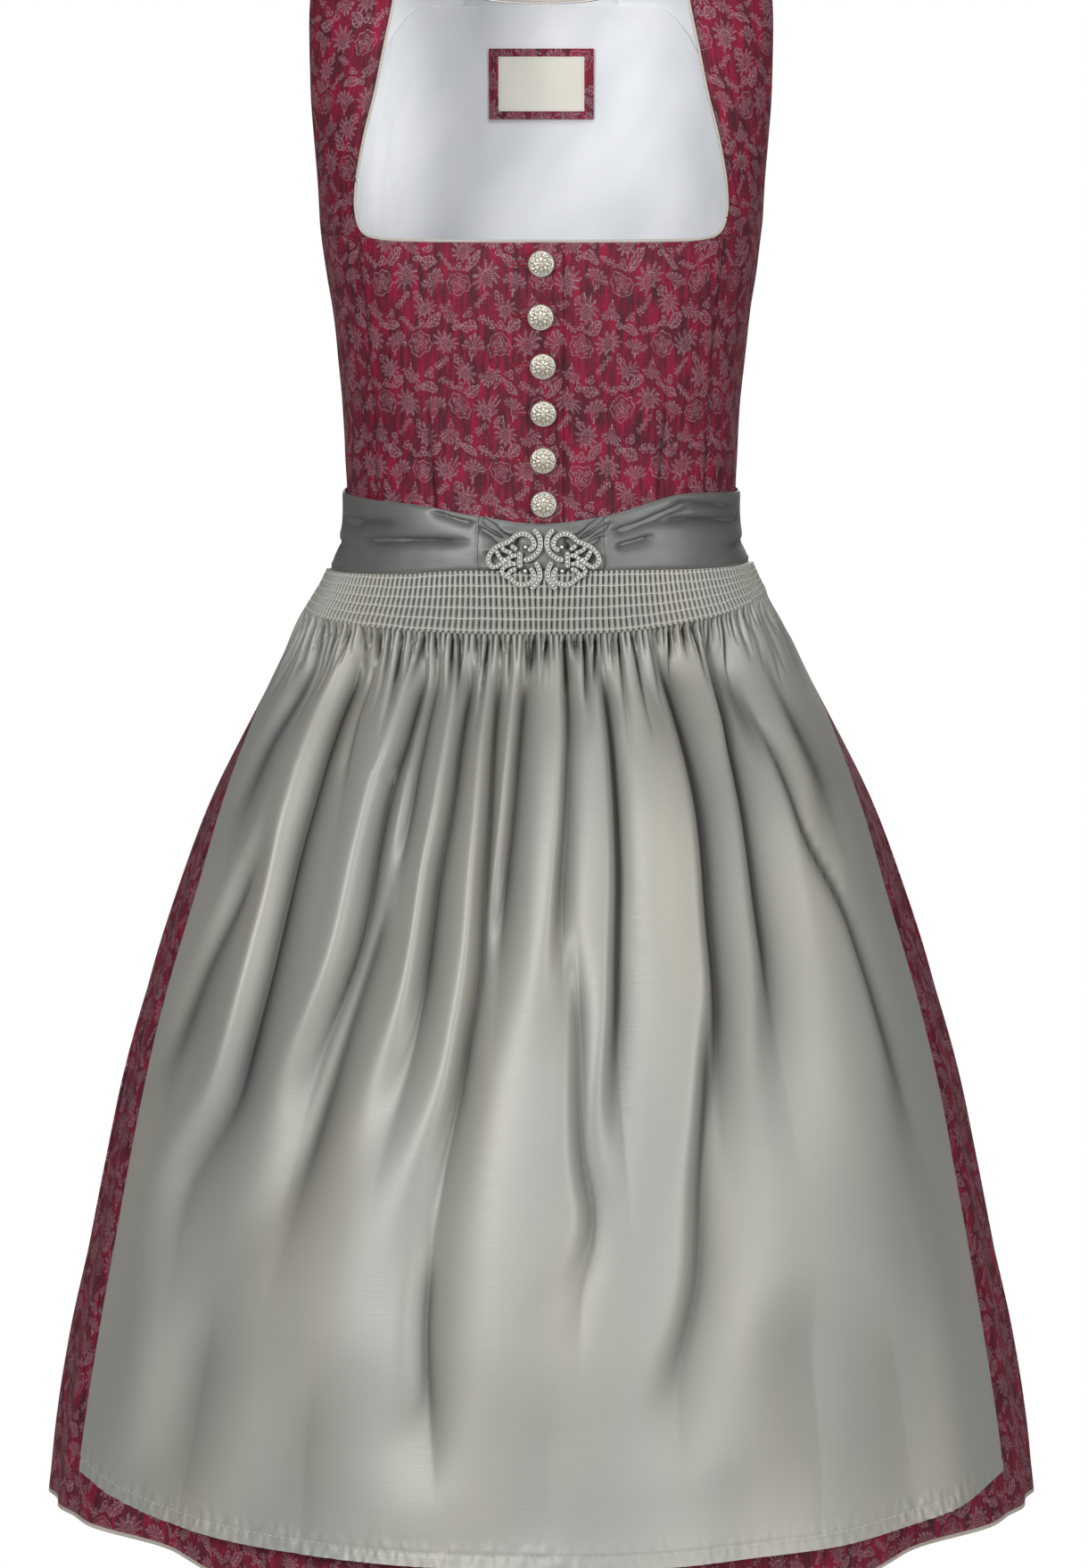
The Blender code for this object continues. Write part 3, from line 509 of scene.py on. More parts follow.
@dataclass
class Field:
    """A number that varies over a surface, built up of Math nodes."""

    tree: NodeTree
    socket: NodeSocket

    def of(self, operation: str, *others: "Field | float") -> "Field":
        """The Math node's operation on this and the others."""
        inputs = dict(enumerate((self, *others)))
        return Field(self.tree, add(self.tree, "ShaderNodeMath", inputs, operation=operation).outputs[0])

    def __add__(self, other: "Field | float") -> "Field":
        """The sum."""
        return self.of("ADD", other)

    def __sub__(self, other: "Field | float") -> "Field":
        """The difference."""
        return self.of("SUBTRACT", other)

    def __mul__(self, other: "Field | float") -> "Field":
        """The product."""
        return self.of("MULTIPLY", other)

    def __or__(self, other: "Field | float") -> "Field":
        """The larger of the two."""
        return self.of("MAXIMUM", other)

    def size(self) -> "Field":
        """This, without its sign."""
        return self.of("ABSOLUTE")

    def cos(self) -> "Field":
        """The cosine of this."""
        return self.of("COSINE")

    def sin(self) -> "Field":
        """The sine of this."""
        return self.of("SINE")

    def over(self, limit: "Field | float", soft: float) -> "Field":
        """1 where this is above limit, falling to 0 over soft."""
        return ((self - limit) * (1.0 / soft) + 0.5).clamped()

    def under(self, limit: "Field | float", soft: float) -> "Field":
        """1 where this is below limit, falling to 0 over soft."""
        return ((self - limit) * (-1.0 / soft) + 0.5).clamped()

    def clamped(self) -> "Field":
        """This, kept from 0 to 1."""
        return self.of("MAXIMUM", 0.0).of("MINIMUM", 1.0)


def uneven(tree: NodeTree, across: Field, up: Field, wide: float, high: float, detail: float = 2.0) -> Field:
    """How uneven the cloth is: a field that wanders from 0 to 1 over it.

    Args:
        tree: the node tree.
        across: millimetres across the cloth.
        up: millimetres up the cloth.
        wide: how wide its spots are, in millimetres.
        high: how high they are.
        detail: how ragged they are.

    Returns:
        The field.
    """
    place = add(tree, "ShaderNodeCombineXYZ", {0: across * (1 / wide), 1: up * (1 / high)})
    inputs = {"Vector": place.outputs[0], "Scale": 1.0, "Detail": detail}
    return Field(tree, add(tree, "ShaderNodeTexNoise", inputs).outputs[0])


def socket_tree(
    name: str, kind: str, inputs: dict[str, str], outputs: dict[str, str]
) -> tuple[NodeTree, dict[str, str]]:
    """Open a node group with its sockets.

    Args:
        name: the group's name.
        kind: the type of its tree.
        inputs: the name of each input and the kind of value that it takes.
        outputs: the same for each output.

    Returns:
        The tree, and the identifier of each input by name.
    """
    tree = bpy.data.node_groups.new(name, kind)
    found = {}
    for way, sockets in (("INPUT", inputs), ("OUTPUT", outputs)):
        for socket, value in sockets.items():
            made = tree.interface.new_socket(name=socket, in_out=way, socket_type=f"NodeSocket{value}")
            found.setdefault(socket, made.identifier)
    return tree, found


@dataclass(frozen=True)
class Finish:
    """What every finish has: its name, its main colour, and how rough and metallic it is."""

    name: str
    colour: str
    roughness: float
    metallic: float = 0.0

    def material(self) -> Material:
        """The finish's material, made once."""
        made = bpy.data.materials.get(self.name)
        if made is None:
            made = bpy.data.materials.new(self.name)
            made.use_nodes = True
            shader = made.node_tree.nodes["Principled BSDF"]
            plain = {"Roughness": self.roughness, "Metallic": self.metallic}
            feed(made.node_tree, shader, {"Base Color": linear(self.colour), **plain})
            self.dress(made.node_tree, shader)
        return made

    def dress(self, tree: NodeTree, shader: Node) -> None:
        """Add what the finish has beyond its plain values.

        Args:
            tree: the material's tree.
            shader: its shader.
        """

    def cloth_place(self, tree: NodeTree) -> tuple[Field, Field]:
        """Where a point lies on the cloth, from the piece's own map.

        Args:
            tree: the material's tree.

        Returns:
            Millimetres across the cloth, and millimetres up it.
        """
        uv = add(tree, "ShaderNodeUVMap", uv_map=UV_NAME)
        place = add(tree, "ShaderNodeSeparateXYZ", {0: uv.outputs[0]}).outputs
        return Field(tree, place[0]) * 1000.0, Field(tree, place[1]) * 1000.0

    def grain(self, tree: NodeTree, size: float, detail: float) -> Field:
        """The grain all through a piece.

        Args:
            tree: the material's tree.
            size: how wide its spots are, in millimetres.
            detail: how ragged they are.

        Returns:
            A field that wanders from 0 to 1.
        """
        place = add(tree, "ShaderNodeTexCoord").outputs["Object"]
        inputs = {"Vector": place, "Scale": 1000 / size, "Detail": detail}
        return Field(tree, add(tree, "ShaderNodeTexNoise", inputs).outputs[0])

    def shaded(self, tree: NodeTree, shader: Node, colour: NodeSocket, shade: float) -> None:
        """Paint shade into the shader's colour: darker where the painted-shade attribute marks a fold, a seam
        or a slot.

        Args:
            tree: the material's tree.
            shader: its shader.
            colour: the cloth's colour on the open surface.
            shade: how much darker the bottom of a deep fold is, from 0 to 1.
        """
        # Painted shade: the attribute darkens the colour itself, as if the fold lay in shade.
        hollow = Field(tree, add(tree, "ShaderNodeAttribute", attribute_name="hollow").outputs["Fac"])
        inputs = {"Value": hollow * -shade + 1.0, "Color": colour}
        feed(tree, shader, {"Base Color": add(tree, "ShaderNodeHueSaturation", inputs).outputs[0]})

    def bump(self, tree: NodeTree, shader: Node, height: Field, size: float) -> None:
        """Raise the surface by a height, whose 1 is size millimetres."""
        node = add(tree, "ShaderNodeBump", {"Height": height, "Distance": size * MM, "Strength": 1.0})
        feed(tree, shader, {"Normal": node.outputs[0]})

    def weave(self, across: Field, up: Field, thread: float) -> Field:
        """The grid of a plain weave, whose threads lie thread millimetres apart."""
        turn = 2 * math.pi / thread
        return (across * turn).sin() * (up * turn).sin()


class PlacedMotif(NamedTuple):
    """A motif of the repeat: its middle and radius in millimetres, and its turn in degrees."""

    kind: Motif
    x: float
    y: float
    radius: float
    turn: float


MOTIFS = tuple(
    PlacedMotif(*row)
    for row in (
        (Motif.ROSETTE, 0.0, 0.0, 8.2, 0.0), (Motif.THISTLE, 17.5, 3.0, 9.0, 6.0),
        (Motif.FAN, -17.5, -1.0, 8.2, -8.0), (Motif.LEAF, 9.0, 14.8, 6.4, -42.0),
        (Motif.SPRIG, -8.8, 13.5, 6.8, 30.0), (Motif.BUD, 0.6, 13.0, 3.4, 0.0),
        (Motif.LEAF, -20.5, 13.5, 6.2, 58.0), (Motif.THISTLE, -23.0, -17.5, 7.8, -18.0),
        (Motif.BUD, 25.0, -9.5, 3.4, 30.0), (Motif.SPRIG, 14.5, -12.5, 6.4, -62.0),
        (Motif.FAN, -6.8, -17.5, 7.0, 176.0), (Motif.BUD, 6.0, -20.5, 3.2, -25.0),
        (Motif.BUD, 25.6, 16.5, 3.6, 15.0),
    )
)


class Drawn(NamedTuple):
    """A motif as drawn: its filled ground and its lines, each from 0 to 1."""

    fill: Field
    line: Field


def edge_line(distance: Field, width: float = 0.032) -> Field:
    """A line where a distance is 0."""
    return distance.size().under(width, 0.05)


class Spot(NamedTuple):
    """A place in a motif of radius 1. Each kind of motif is a method that draws it there."""

    x: Field
    y: Field
    radius: Field
    turn: Field

    def rosette(self) -> Drawn:
        """An open flower inside a scalloped outline."""
        radius = self.radius
        outline = edge_line(radius - ((self.turn * 8.0).cos() * 0.06 + 0.90))
        petals = radius - ((self.turn * 2.5).cos().size() * 0.30 + 0.36)
        veins = (self.turn * 5.0).cos().over(0.93, 0.1) * radius.under(0.52, 0.05)
        fill = petals.under(0.0, 0.05) | radius.under(0.86, 0.05) * 0.35
        return Drawn(fill, outline | edge_line(petals) | edge_line(radius - 0.15) | veins)

    def thistle(self) -> Drawn:
        """A scaled cone among pointed leaves."""
        x, y, turn = self.x, self.y, self.turn
        leaves = self.radius - ((turn * 5.5).cos().size().of("POWER", 1.6) * 0.46 + 0.50)
        low = y + 0.1
        cone = (x * x) * 5.2 + (low * low) * 2.6 - 0.80
        scales = (((x + y) * 17.0).sin() * ((x - y) * 17.0).sin()).size().under(0.13, 0.12)
        veins = (turn * 11.0).cos().over(0.86, 0.15) * leaves.under(-0.1, 0.05)
        lines = (edge_line(leaves) | veins) * cone.over(0.0, 0.08)
        return Drawn(leaves.under(0.0, 0.05), lines | scales * cone.under(0.0, 0.08) | edge_line(cone, 0.09))

    def fan(self) -> Drawn:
        """A jagged flower spread like a fan over its cup."""
        x, y, turn = self.x, self.y, self.turn
        upward = y.over(-0.10, 0.06)
        petals = self.radius - ((turn * 7.0).cos().size() * 0.26 + 0.68)
        veins = (turn * 14.0).cos().over(0.72, 0.2) * petals.under(-0.08, 0.05)
        low = y + 0.34
        cup = (x * x) * 8.0 + (low * low) * 6.5 - 0.62
        stem = x.size().under(0.06, 0.05) * (y + 0.74).size().under(0.26, 0.05)
        fill = petals.under(0.0, 0.05) * upward | cup.under(0.0, 0.08)
        return Drawn(fill, (edge_line(petals) | veins) * upward | edge_line(cup, 0.10) | stem)

    def leaf(self) -> Drawn:
        """A toothed leaf with its rib and side veins."""
        x, y = self.x.size(), self.y
        blade = x - ((y * y) * -0.44 + 0.42 + (y * 8.0).sin().size() * 0.10)
        inside = blade.under(0.0, 0.06) * y.size().under(0.95, 0.05)
        veins = ((y - x) * 15.0).sin().over(0.80, 0.2)
        outline = edge_line(blade, 0.05) * y.size().under(1.0, 0.05)
        return Drawn(inside, (x.under(0.045, 0.05) | veins) * inside | outline)

    def bud(self) -> Drawn:
        """A small flower of three petals."""
        petals = self.radius - ((self.turn * 1.5).cos().size() * 0.58 + 0.38)
        return Drawn(petals.under(0.0, 0.10), edge_line(petals, 0.09) | edge_line(self.radius - 0.2, 0.08))

    def sprig(self) -> Drawn:
        """A curved stem with small leaves on both sides."""
        bent = (self.x + (self.y * 1.8).sin() * 0.26).size()
        leaves = bent - (self.y * 7.0).sin().size() * 0.34
        within = self.radius.under(0.95, 0.08)
        lines = edge_line(leaves, 0.05) | bent.under(0.045, 0.05)
        return Drawn(leaves.under(0.0, 0.06) * within, lines * within)


@dataclass(frozen=True)
class Jacquard(Finish):
    """Woven cotton and viscose jacquard: a streaked burgundy ground under broken silver-pink motifs.

    Its floats lie proud of the ground by about 0.15 mm and shine a little more. Real threads lie some 0.25 mm
    apart, which is too fine to show, so the weave is drawn with threads 0.9 mm apart.
    """

    repeat: tuple[float, float] = (53.0, 42.0)
    thread: float = 0.9
    maroon: str = "4c1827"
    crimson: str = "990f38"
    silver: str = "bd949c"
    dull_silver: str = "834c59"
    # How much darker the painted shade makes the bottom of a seam or dart groove.
    shade: float = 0.60

    def motif_group(self, kind: Motif) -> NodeTree:
        """The group that draws one kind of motif all over the half-drop repeat, made once.

        Args:
            kind: the motif, which the Spot method of its name draws.

        Returns:
            The group's tree.
        """
        name = f"{self.name}_{kind.value}"
        if name in bpy.data.node_groups:
            return bpy.data.node_groups[name]
        inputs = dict.fromkeys(("Across", "Up", "X", "Y", "Cosine", "Sine"), "Float")
        tree, _ = socket_tree(name, "ShaderNodeTree", inputs, {"Fill": "Float", "Line": "Float"})
        given = add(tree, "NodeGroupInput").outputs
        across, up, middle, level, cosine, sine = (Field(tree, given[socket]) for socket in inputs)
        wide, high = self.repeat
        y = up - level
        row = (y * (1 / high)).of("ROUND")
        y = y - row * high
        x = across - middle - row * (wide / 2)
        x = x - (x * (1 / wide)).of("ROUND") * wide
        x, y = x * cosine + y * sine, y * cosine - x * sine
        spot = Spot(x, y, (x * x + y * y).of("SQRT"), x.of("ARCTAN2", y))
        drawn = getattr(spot, kind.value)()
        add(tree, "NodeGroupOutput", {"Fill": drawn.fill, "Line": drawn.line})
        return tree

    def drawing(self, tree: NodeTree, across: Field, up: Field) -> Drawn:
        """All the motifs together, their edges shaken by the weave.

        Args:
            tree: the material's tree.
            across: millimetres across the cloth.
            up: millimetres up the cloth.

        Returns:
            The drawing.
        """
        shake = uneven(tree, across, up, 2.6, 2.6) - 0.5
        sway = uneven(tree, across + 83.0, up, 21.0, 60.0) - 0.5
        place = {"Across": across + shake * 1.5 + sway * 5.0, "Up": up - shake * 1.3 + sway * 26.0}
        fill, line = None, None
        for motif in MOTIFS:
            angle = math.radians(motif.turn)
            turned = {"Cosine": math.cos(angle) / motif.radius, "Sine": math.sin(angle) / motif.radius}
            inputs = {**place, "X": motif.x, "Y": motif.y, **turned}
            group = add(tree, "ShaderNodeGroup", inputs, node_tree=self.motif_group(motif.kind)).outputs
            one = Drawn(Field(tree, group["Fill"]), Field(tree, group["Line"]))
            fill = one.fill if fill is None else fill | one.fill
            line = one.line if line is None else line | one.line
        return Drawn(fill, line)

    def dress(self, tree: NodeTree, shader: Node) -> None:
        """The ground's streaks, the motifs' floats, painted shade in the seams and darts, and the weave."""
        across, up = self.cloth_place(tree)
        drawn = self.drawing(tree, across, up)
        broken = uneven(tree, across, up, 0.7, 1.3, 3.0)
        worn = uneven(tree, across + 19.0, up, 7.0, 9.0)
        specks = uneven(tree, across + 57.0, up, 1.1, 2.2, 4.0).under(0.33, 0.05)
        # Painted glints: specks of the silver colour stand in for light caught by the threads.
        glints = uneven(tree, across + 91.0, up, 0.9, 1.3).under(0.30, 0.04)
        fill = drawn.fill * broken.under(0.55, 0.08) * (worn * 1.5 + 0.05).clamped() * 0.85 | specks * 0.5
        line = drawn.line * broken.under(0.58, 0.12) * (worn * 1.3 + 0.20).clamped()
        line = line | glints * (worn * 1.2 + 0.1).clamped()
        streaks = uneven(tree, across, up, 2.4, 30.0, 3.0) * 0.6
        patches = uneven(tree, across + 31.0, up, 10.0, 24.0) * 0.4
        stops = (0.40, self.maroon), (0.50, self.colour), (0.59, self.crimson)
        ground = add(tree, "ShaderNodeValToRGB", {0: streaks + patches}, stops)
        filled = {0: fill, 6: ground.outputs[0], 7: linear(self.dull_silver)}
        filled = add(tree, "ShaderNodeMix", filled, data_type="RGBA").outputs[2]
        mixed = {0: line * 0.82, 6: filled, 7: linear(self.silver)}
        # Painted shade: the colour is darkened in the seams and darts.
        self.shaded(tree, shader, add(tree, "ShaderNodeMix", mixed, data_type="RGBA").outputs[2], self.shade)
        floats = fill | line
        weave = self.weave(across, up, self.thread)
        self.bump(tree, shader, floats + weave * 0.35 + broken * 0.3, 0.16)
        rough = floats * -0.14 + self.roughness
        sheen = {"Sheen Weight": 0.06, "Sheen Roughness": 0.45, "Specular IOR Level": 0.35}
        feed(tree, shader, {"Roughness": rough, **sheen})


@dataclass(frozen=True)
class Taffeta(Finish):
    """Shot polyester taffeta: a crisp, smooth weave with a satin gloss, cool and warm by turns.

    Real slubs are some 0.3 mm high, which is too fine to show, so they are drawn several times as coarse.
    """

    cool: str = "b7b9b3"
    slub: float = 1.1
    specular: float = 0.55
    # How much darker the painted shade makes the bottom of a deep fold or crease.
    shade: float = 0.90

    def dress(self, tree: NodeTree, shader: Node) -> None:
        """The two threads' colours with painted shade in the folds, the slubs across and the gloss."""
        across, up = self.cloth_place(tree)
        broad = uneven(tree, across, up, 120.0, 260.0)
        slubs = uneven(tree, across, up, 26.0, self.slub, 3.0)
        stops = (0.40, self.cool), (0.62, self.colour)
        colour = add(tree, "ShaderNodeValToRGB", {0: broad * 0.85 + slubs * 0.15}, stops)
        # Painted shade: the colour is darkened in the folds.
        self.shaded(tree, shader, colour.outputs[0], self.shade)
        fine = uneven(tree, across, up, 0.9, 0.9)
        self.bump(tree, shader, slubs * 0.7 + fine * 0.3, 0.10)
        rough = slubs * 0.12 + (self.roughness - 0.06)
        sheen = {"Sheen Weight": 0.10, "Sheen Roughness": 0.35, "Specular IOR Level": self.specular}
        feed(tree, shader, {"Roughness": rough, **sheen})


@dataclass(frozen=True)
class Cotton(Finish):
    """Plain-woven cotton: matt, with a thread grid that only shows close by.

    Real threads lie some 0.3 mm apart, and are drawn 0.8 to 1 mm apart so that they show at all.
    """

    thread: float = 0.8
    shadow: str = "e4e7eb"

    def dress(self, tree: NodeTree, shader: Node) -> None:
        """Soft shading in the colour, and the thread grid."""
        across, up = self.cloth_place(tree)
        weave = self.weave(across, up, self.thread)
        self.bump(tree, shader, weave * 0.5 + uneven(tree, across, up, 1.3, 1.3), 0.08)
        stops = (0.35, self.shadow), (0.60, self.colour)
        colour = add(tree, "ShaderNodeValToRGB", {0: uneven(tree, across, up, 60.0, 90.0)}, stops)
        sheen = {"Sheen Weight": 0.15, "Specular IOR Level": 0.2}
        feed(tree, shader, {"Base Color": colour.outputs[0], **sheen})


@dataclass(frozen=True)
class Yarn(Finish):
    """Twisted thread or cord: soft, with fibres that catch a little light.

    Real fibres are some 0.02 mm thick, and are drawn half a millimetre wide so that they show at all.
    """

    fibre: float = 0.5

    def dress(self, tree: NodeTree, shader: Node) -> None:
        """Fine fibres as bump and as a change of colour."""
        fibres = self.grain(tree, self.fibre, 2.0)
        self.bump(tree, shader, fibres, 0.12)
        inputs = {"Value": fibres * 0.5 + 0.75, "Color": linear(self.colour)}
        tint = add(tree, "ShaderNodeHueSaturation", inputs).outputs[0]
        feed(tree, shader, {"Base Color": tint, "Sheen Weight": 0.2, "Specular IOR Level": 0.25})


@dataclass(frozen=True)
class Silver(Finish):
    """Silver-plated brass, cast and tumbled: bright on top, dulled where the polishing doesn't reach.

    The relief attribute of a piece says how high each point stands, from 0 to 1. Much of it is tarnish and
    lacquer, so it mirrors only in part. The cast grain is really 0.1 to 0.2 mm wide, and is drawn 0.6 mm wide
    so that it shows.
    """

    tarnish: str = "6a665c"
    cast: float = 0.6

    def dress(self, tree: NodeTree, shader: Node) -> None:
        """Tarnish in the hollows and a fine cast grain."""
        relief = Field(tree, add(tree, "ShaderNodeAttribute", attribute_name="relief").outputs["Fac"])
        grain = self.grain(tree, self.cast, 3.0)
        self.bump(tree, shader, grain, 0.10)
        worn = relief + (grain - 0.5) * 0.5
        stops = (0.12, self.tarnish), (0.55, self.colour)
        colour = add(tree, "ShaderNodeValToRGB", {0: worn}, stops).outputs[0]
        feed(tree, shader, {"Base Color": colour, "Roughness": worn * -0.22 + (self.roughness + 0.14)})


@dataclass(frozen=True)
class Crystal(Finish):
    """Foil-backed glass stones: small flat facets under a hard, clear surface, bright and nearly white."""

    def dress(self, tree: NodeTree, shader: Node) -> None:
        """A hard clear coat over the foil."""
        feed(tree, shader, {"Coat Weight": 0.8, "Coat Roughness": 0.02})


@dataclass(frozen=True)
class Paint(Finish):
    """Matt wall paint, with no gloss at all."""

    def dress(self, tree: NodeTree, shader: Node) -> None:
        """No mirror light."""
        feed(tree, shader, {"Specular IOR Level": 0.0})


@dataclass(frozen=True)
class Wardrobe:
    """The finishes of the dress and of the floor below it."""

    jacquard: Finish = Jacquard("jacquard_woven", "74142f", 0.62)
    taffeta: Finish = Taffeta("taffeta_shot", "c0bdb2", 0.52, 0.25)
    # The belt's satin paints shade into its creases too.
    satin: Finish = Taffeta("satin_dark", "8c8e8a", 0.50, 0.40, "818380", slub=1.6, specular=0.34, shade=0.62)
    lining: Finish = Cotton("cotton_lining", "f1f3f6", 0.80)
    card: Finish = Cotton("cotton_card", "efece3", 0.75, shadow="e6e2d6", thread=1.0)
    piping: Finish = Yarn("cord_cream", "cdc4b8", 0.70)
    tape: Finish = Cotton("cotton_tape", "cbc3b6", 0.75, shadow="b9b0a4")
    pale_thread: Finish = Yarn("thread_pale", "dedcd2", 0.55)
    grey_thread: Finish = Yarn("thread_grey", "3a3d3c", 0.60)
    red_thread: Finish = Yarn("thread_red", "a3112f", 0.50)
    button_silver: Finish = Silver("silver_antique", "f6f1e4", 0.34, 0.55, tarnish="a8a290")
    clasp_silver: Finish = Silver("silver_bright", "dcdad3", 0.38, 0.35, tarnish="8a8780")
    stone: Finish = Crystal("glass_foiled", "dcdcda", 0.12, 0.15)
    paint: Finish = Paint("paint_pale", "f4f4f4", 0.9)


WARDROBE = Wardrobe()


def linked(name: str, data: bpy.types.ID) -> Object:
    """A new object in the scene that holds the data."""
    obj = bpy.data.objects.new(name, data)
    bpy.context.scene.collection.objects.link(obj)
    return obj


def new_object(name: str, mesh: Mesh, finishes: Sequence[Finish], sharp: float = 50.0) -> Object:
    """Link a mesh as a smooth-shaded object with its materials.

    Args:
        name: the piece's name.
        mesh: its mesh.
        finishes: a finish for each material index.
        sharp: the angle in degrees past which an edge stays sharp.

    Returns:
        The object.
    """
    mesh.shade_smooth()
    mesh.set_sharp_from_angle(angle=math.radians(sharp))
    for finish in finishes:
        mesh.materials.append(finish.material())
    return linked(name, mesh)


def signed_volume(points: Array, faces: Array) -> float:
    """Six times the volume inside quad faces, below 0 where they point inwards."""
    a, b, c, d = (points[faces[:, k]] for k in range(4))
    return float(np.einsum("ij,ij->", a, np.cross(b, c)) + np.einsum("ij,ij->", a, np.cross(c, d)))


def store(mesh: Mesh, name: str, values: Array) -> None:
    """Keep a number or a vector for each point of a mesh, under a name."""
    kind, key = ("FLOAT", "value") if values.ndim == 1 else ("FLOAT_VECTOR", "vector")
    mesh.attributes.new(name, kind, "POINT").data.foreach_set(key, values.astype(np.float32).reshape(-1))


def shell(
    name: str,
    outer: Array,
    inner: Array,
    uv: Array,
    finish: Finish,
    inside: Finish | None = None,
    sharp: float = 50.0,
) -> Object:
    """One closed wall of cloth between two grids of points.

    Args:
        name: the piece's name.
        outer: the outside's points, [row][column][3].
        inner: the inside's points.
        uv: metres across and up the cloth at each point, [row][column][2].
        finish: the outside's finish.
        inside: the inside's finish, where it has another.
        sharp: the angle in degrees past which an edge stays sharp.

    Returns:
        The object.
    """
    rows, columns = outer.shape[:2]
    count = rows * columns
    index = np.arange(count).reshape(rows, columns)
    near = np.stack([index[:-1, :-1], index[:-1, 1:], index[1:, 1:], index[1:, :-1]], axis=-1).reshape(-1, 4)
    far = near[:, ::-1] + count
    rim = np.concatenate([index[0], index[1:, -1], index[-1, -2::-1], index[-2:0:-1, 0]])
    after = np.roll(rim, -1)
    sides = np.stack([after, rim, rim + count, after + count], axis=-1)
    faces = np.concatenate([near, far, sides])
    points = np.concatenate([outer.reshape(-1, 3), inner.reshape(-1, 3)])
    if signed_volume(points, faces) < 0:
        faces = faces[:, ::-1]
    mesh = bpy.data.meshes.new(name)
    mesh.from_pydata(points.tolist(), [], faces.tolist())
    layer = mesh.uv_layers.new(name=UV_NAME)
    layer.data.foreach_set("uv", uv.reshape(-1, 2)[faces.reshape(-1) % count].astype(np.float32).reshape(-1))
    if inside is not None:
        numbers = np.zeros(len(faces), np.int32)
        numbers[len(near) : 2 * len(near)] = 1
        mesh.polygons.foreach_set("material_index", numbers)
    return new_object(name, mesh, [finish] + ([inside] if inside else []), sharp)


def cloth_map(points: Array, middle: Array | float = 0.0) -> Array:
    """Metres across and up a flat-cut panel.

    Args:
        points: the panel's points, [row][column][3].
        middle: metres from the first column to the grain line, for each row.

    Returns:
        The map, [row][column][2].
    """
    across = run_length(points, axis=1) - middle
    up = run_length(points, axis=0)
    return np.stack([across, np.broadcast_to(up.mean(axis=1)[:, None], across.shape)], axis=-1)


def gathered_map(width: float, share: Array, points: Array) -> Array:
    """Metres across and up a straight length of cloth that is gathered to its place."""
    up = run_length(points, axis=0)
    return np.stack([np.broadcast_to(width * share, up.shape), up], axis=-1)


def seam_dip(points: Array, depth: float = 0.0008, width: float = 0.0022) -> Array:
    """How far a panel dips into the seams at its first and last columns."""
    along = run_length(points, axis=1)
    return depth * (np.exp(-((along / width) ** 2)) + np.exp(-(((along[:, -1:] - along) / width) ** 2)))


@dataclass
class Panel:
    """A panel of cloth that lies on the body form, and stands for the node of its name.

    Its places and how far each lies outside the form are grids, [row][column]. Middle is the metres from the
    first column to the grain line, and the painted shade says how deep in a fold each place lies, from 0 to
    1.
    """

    node: str
    cloth: str
    slot: str
    finish: Finish
    angle: Array
    station: Array
    offset: Array | float
    wall: float = CLOTH_WALL
    inside: Finish | None = None
    middle: Array | float = 0.0
    uv: Array | None = None
    hollow: Array | None = None
    sharp: float = 50.0

    def mesh(self) -> Object:
        """The panel as a closed wall, with the painted shade of its folds marked.

        Returns:
            The object, not yet set in its node's place.
        """
        outer = FORM.layer(self.angle, self.station, self.offset)
        inner = FORM.layer(self.angle, self.station, self.offset - self.wall)
        uv = cloth_map(outer, self.middle) if self.uv is None else self.uv
        obj = shell(f"{self.node}_{self.cloth}", outer, inner, uv, self.finish, self.inside, self.sharp)
        # Painted shade: how much darker each place's colour is painted, as if in a fold's shade.
        if self.hollow is not None:
            values = np.clip(self.hollow, 0.0, 1.0).reshape(-1)
            store(obj.data, "hollow", np.concatenate([values, np.zeros(values.size)]))
        return obj

    def build(self) -> Object:
        """The panel, set in its node's place."""
        return placed(self.mesh(), self.slot, self.node)


def ring_mesh(
    name: str,
    rings: Array,
    finish: Finish,
    closed: bool = False,
    levels: Array | None = None,
    sharp: float = 50.0,
) -> Object:
    """A closed shape through rings of points.

    Args:
        name: the piece's name.
        rings: the points, [ring][side][3].
        finish: its finish.
        closed: whether the last ring meets the first; otherwise both ends are capped.
        levels: how high each point stands, from 0 to 1, for its relief attribute.
        sharp: the angle in degrees past which an edge stays sharp.

    Returns:
        The object.
    """
    count, sides = rings.shape[:2]
    index = np.arange(count * sides).reshape(count, sides)
    after = np.roll(index, -1, 0)[: count if closed else count - 1]
    here = index[: len(after)]
    quads = np.stack([here, np.roll(here, -1, 1), np.roll(after, -1, 1), after], axis=-1).reshape(-1, 4)
    faces = quads.tolist() + ([] if closed else [index[0][::-1].tolist(), index[-1].tolist()])
    mesh = bpy.data.meshes.new(name)
    mesh.from_pydata(rings.reshape(-1, 3).tolist(), [], faces)
    if levels is not None:
        store(mesh, "relief", levels.reshape(-1))
    body = bmesh.new()
    body.from_mesh(mesh)
    bmesh.ops.recalc_face_normals(body, faces=body.faces)
    body.to_mesh(mesh)
    body.free()
    return new_object(name, mesh, [finish], sharp)


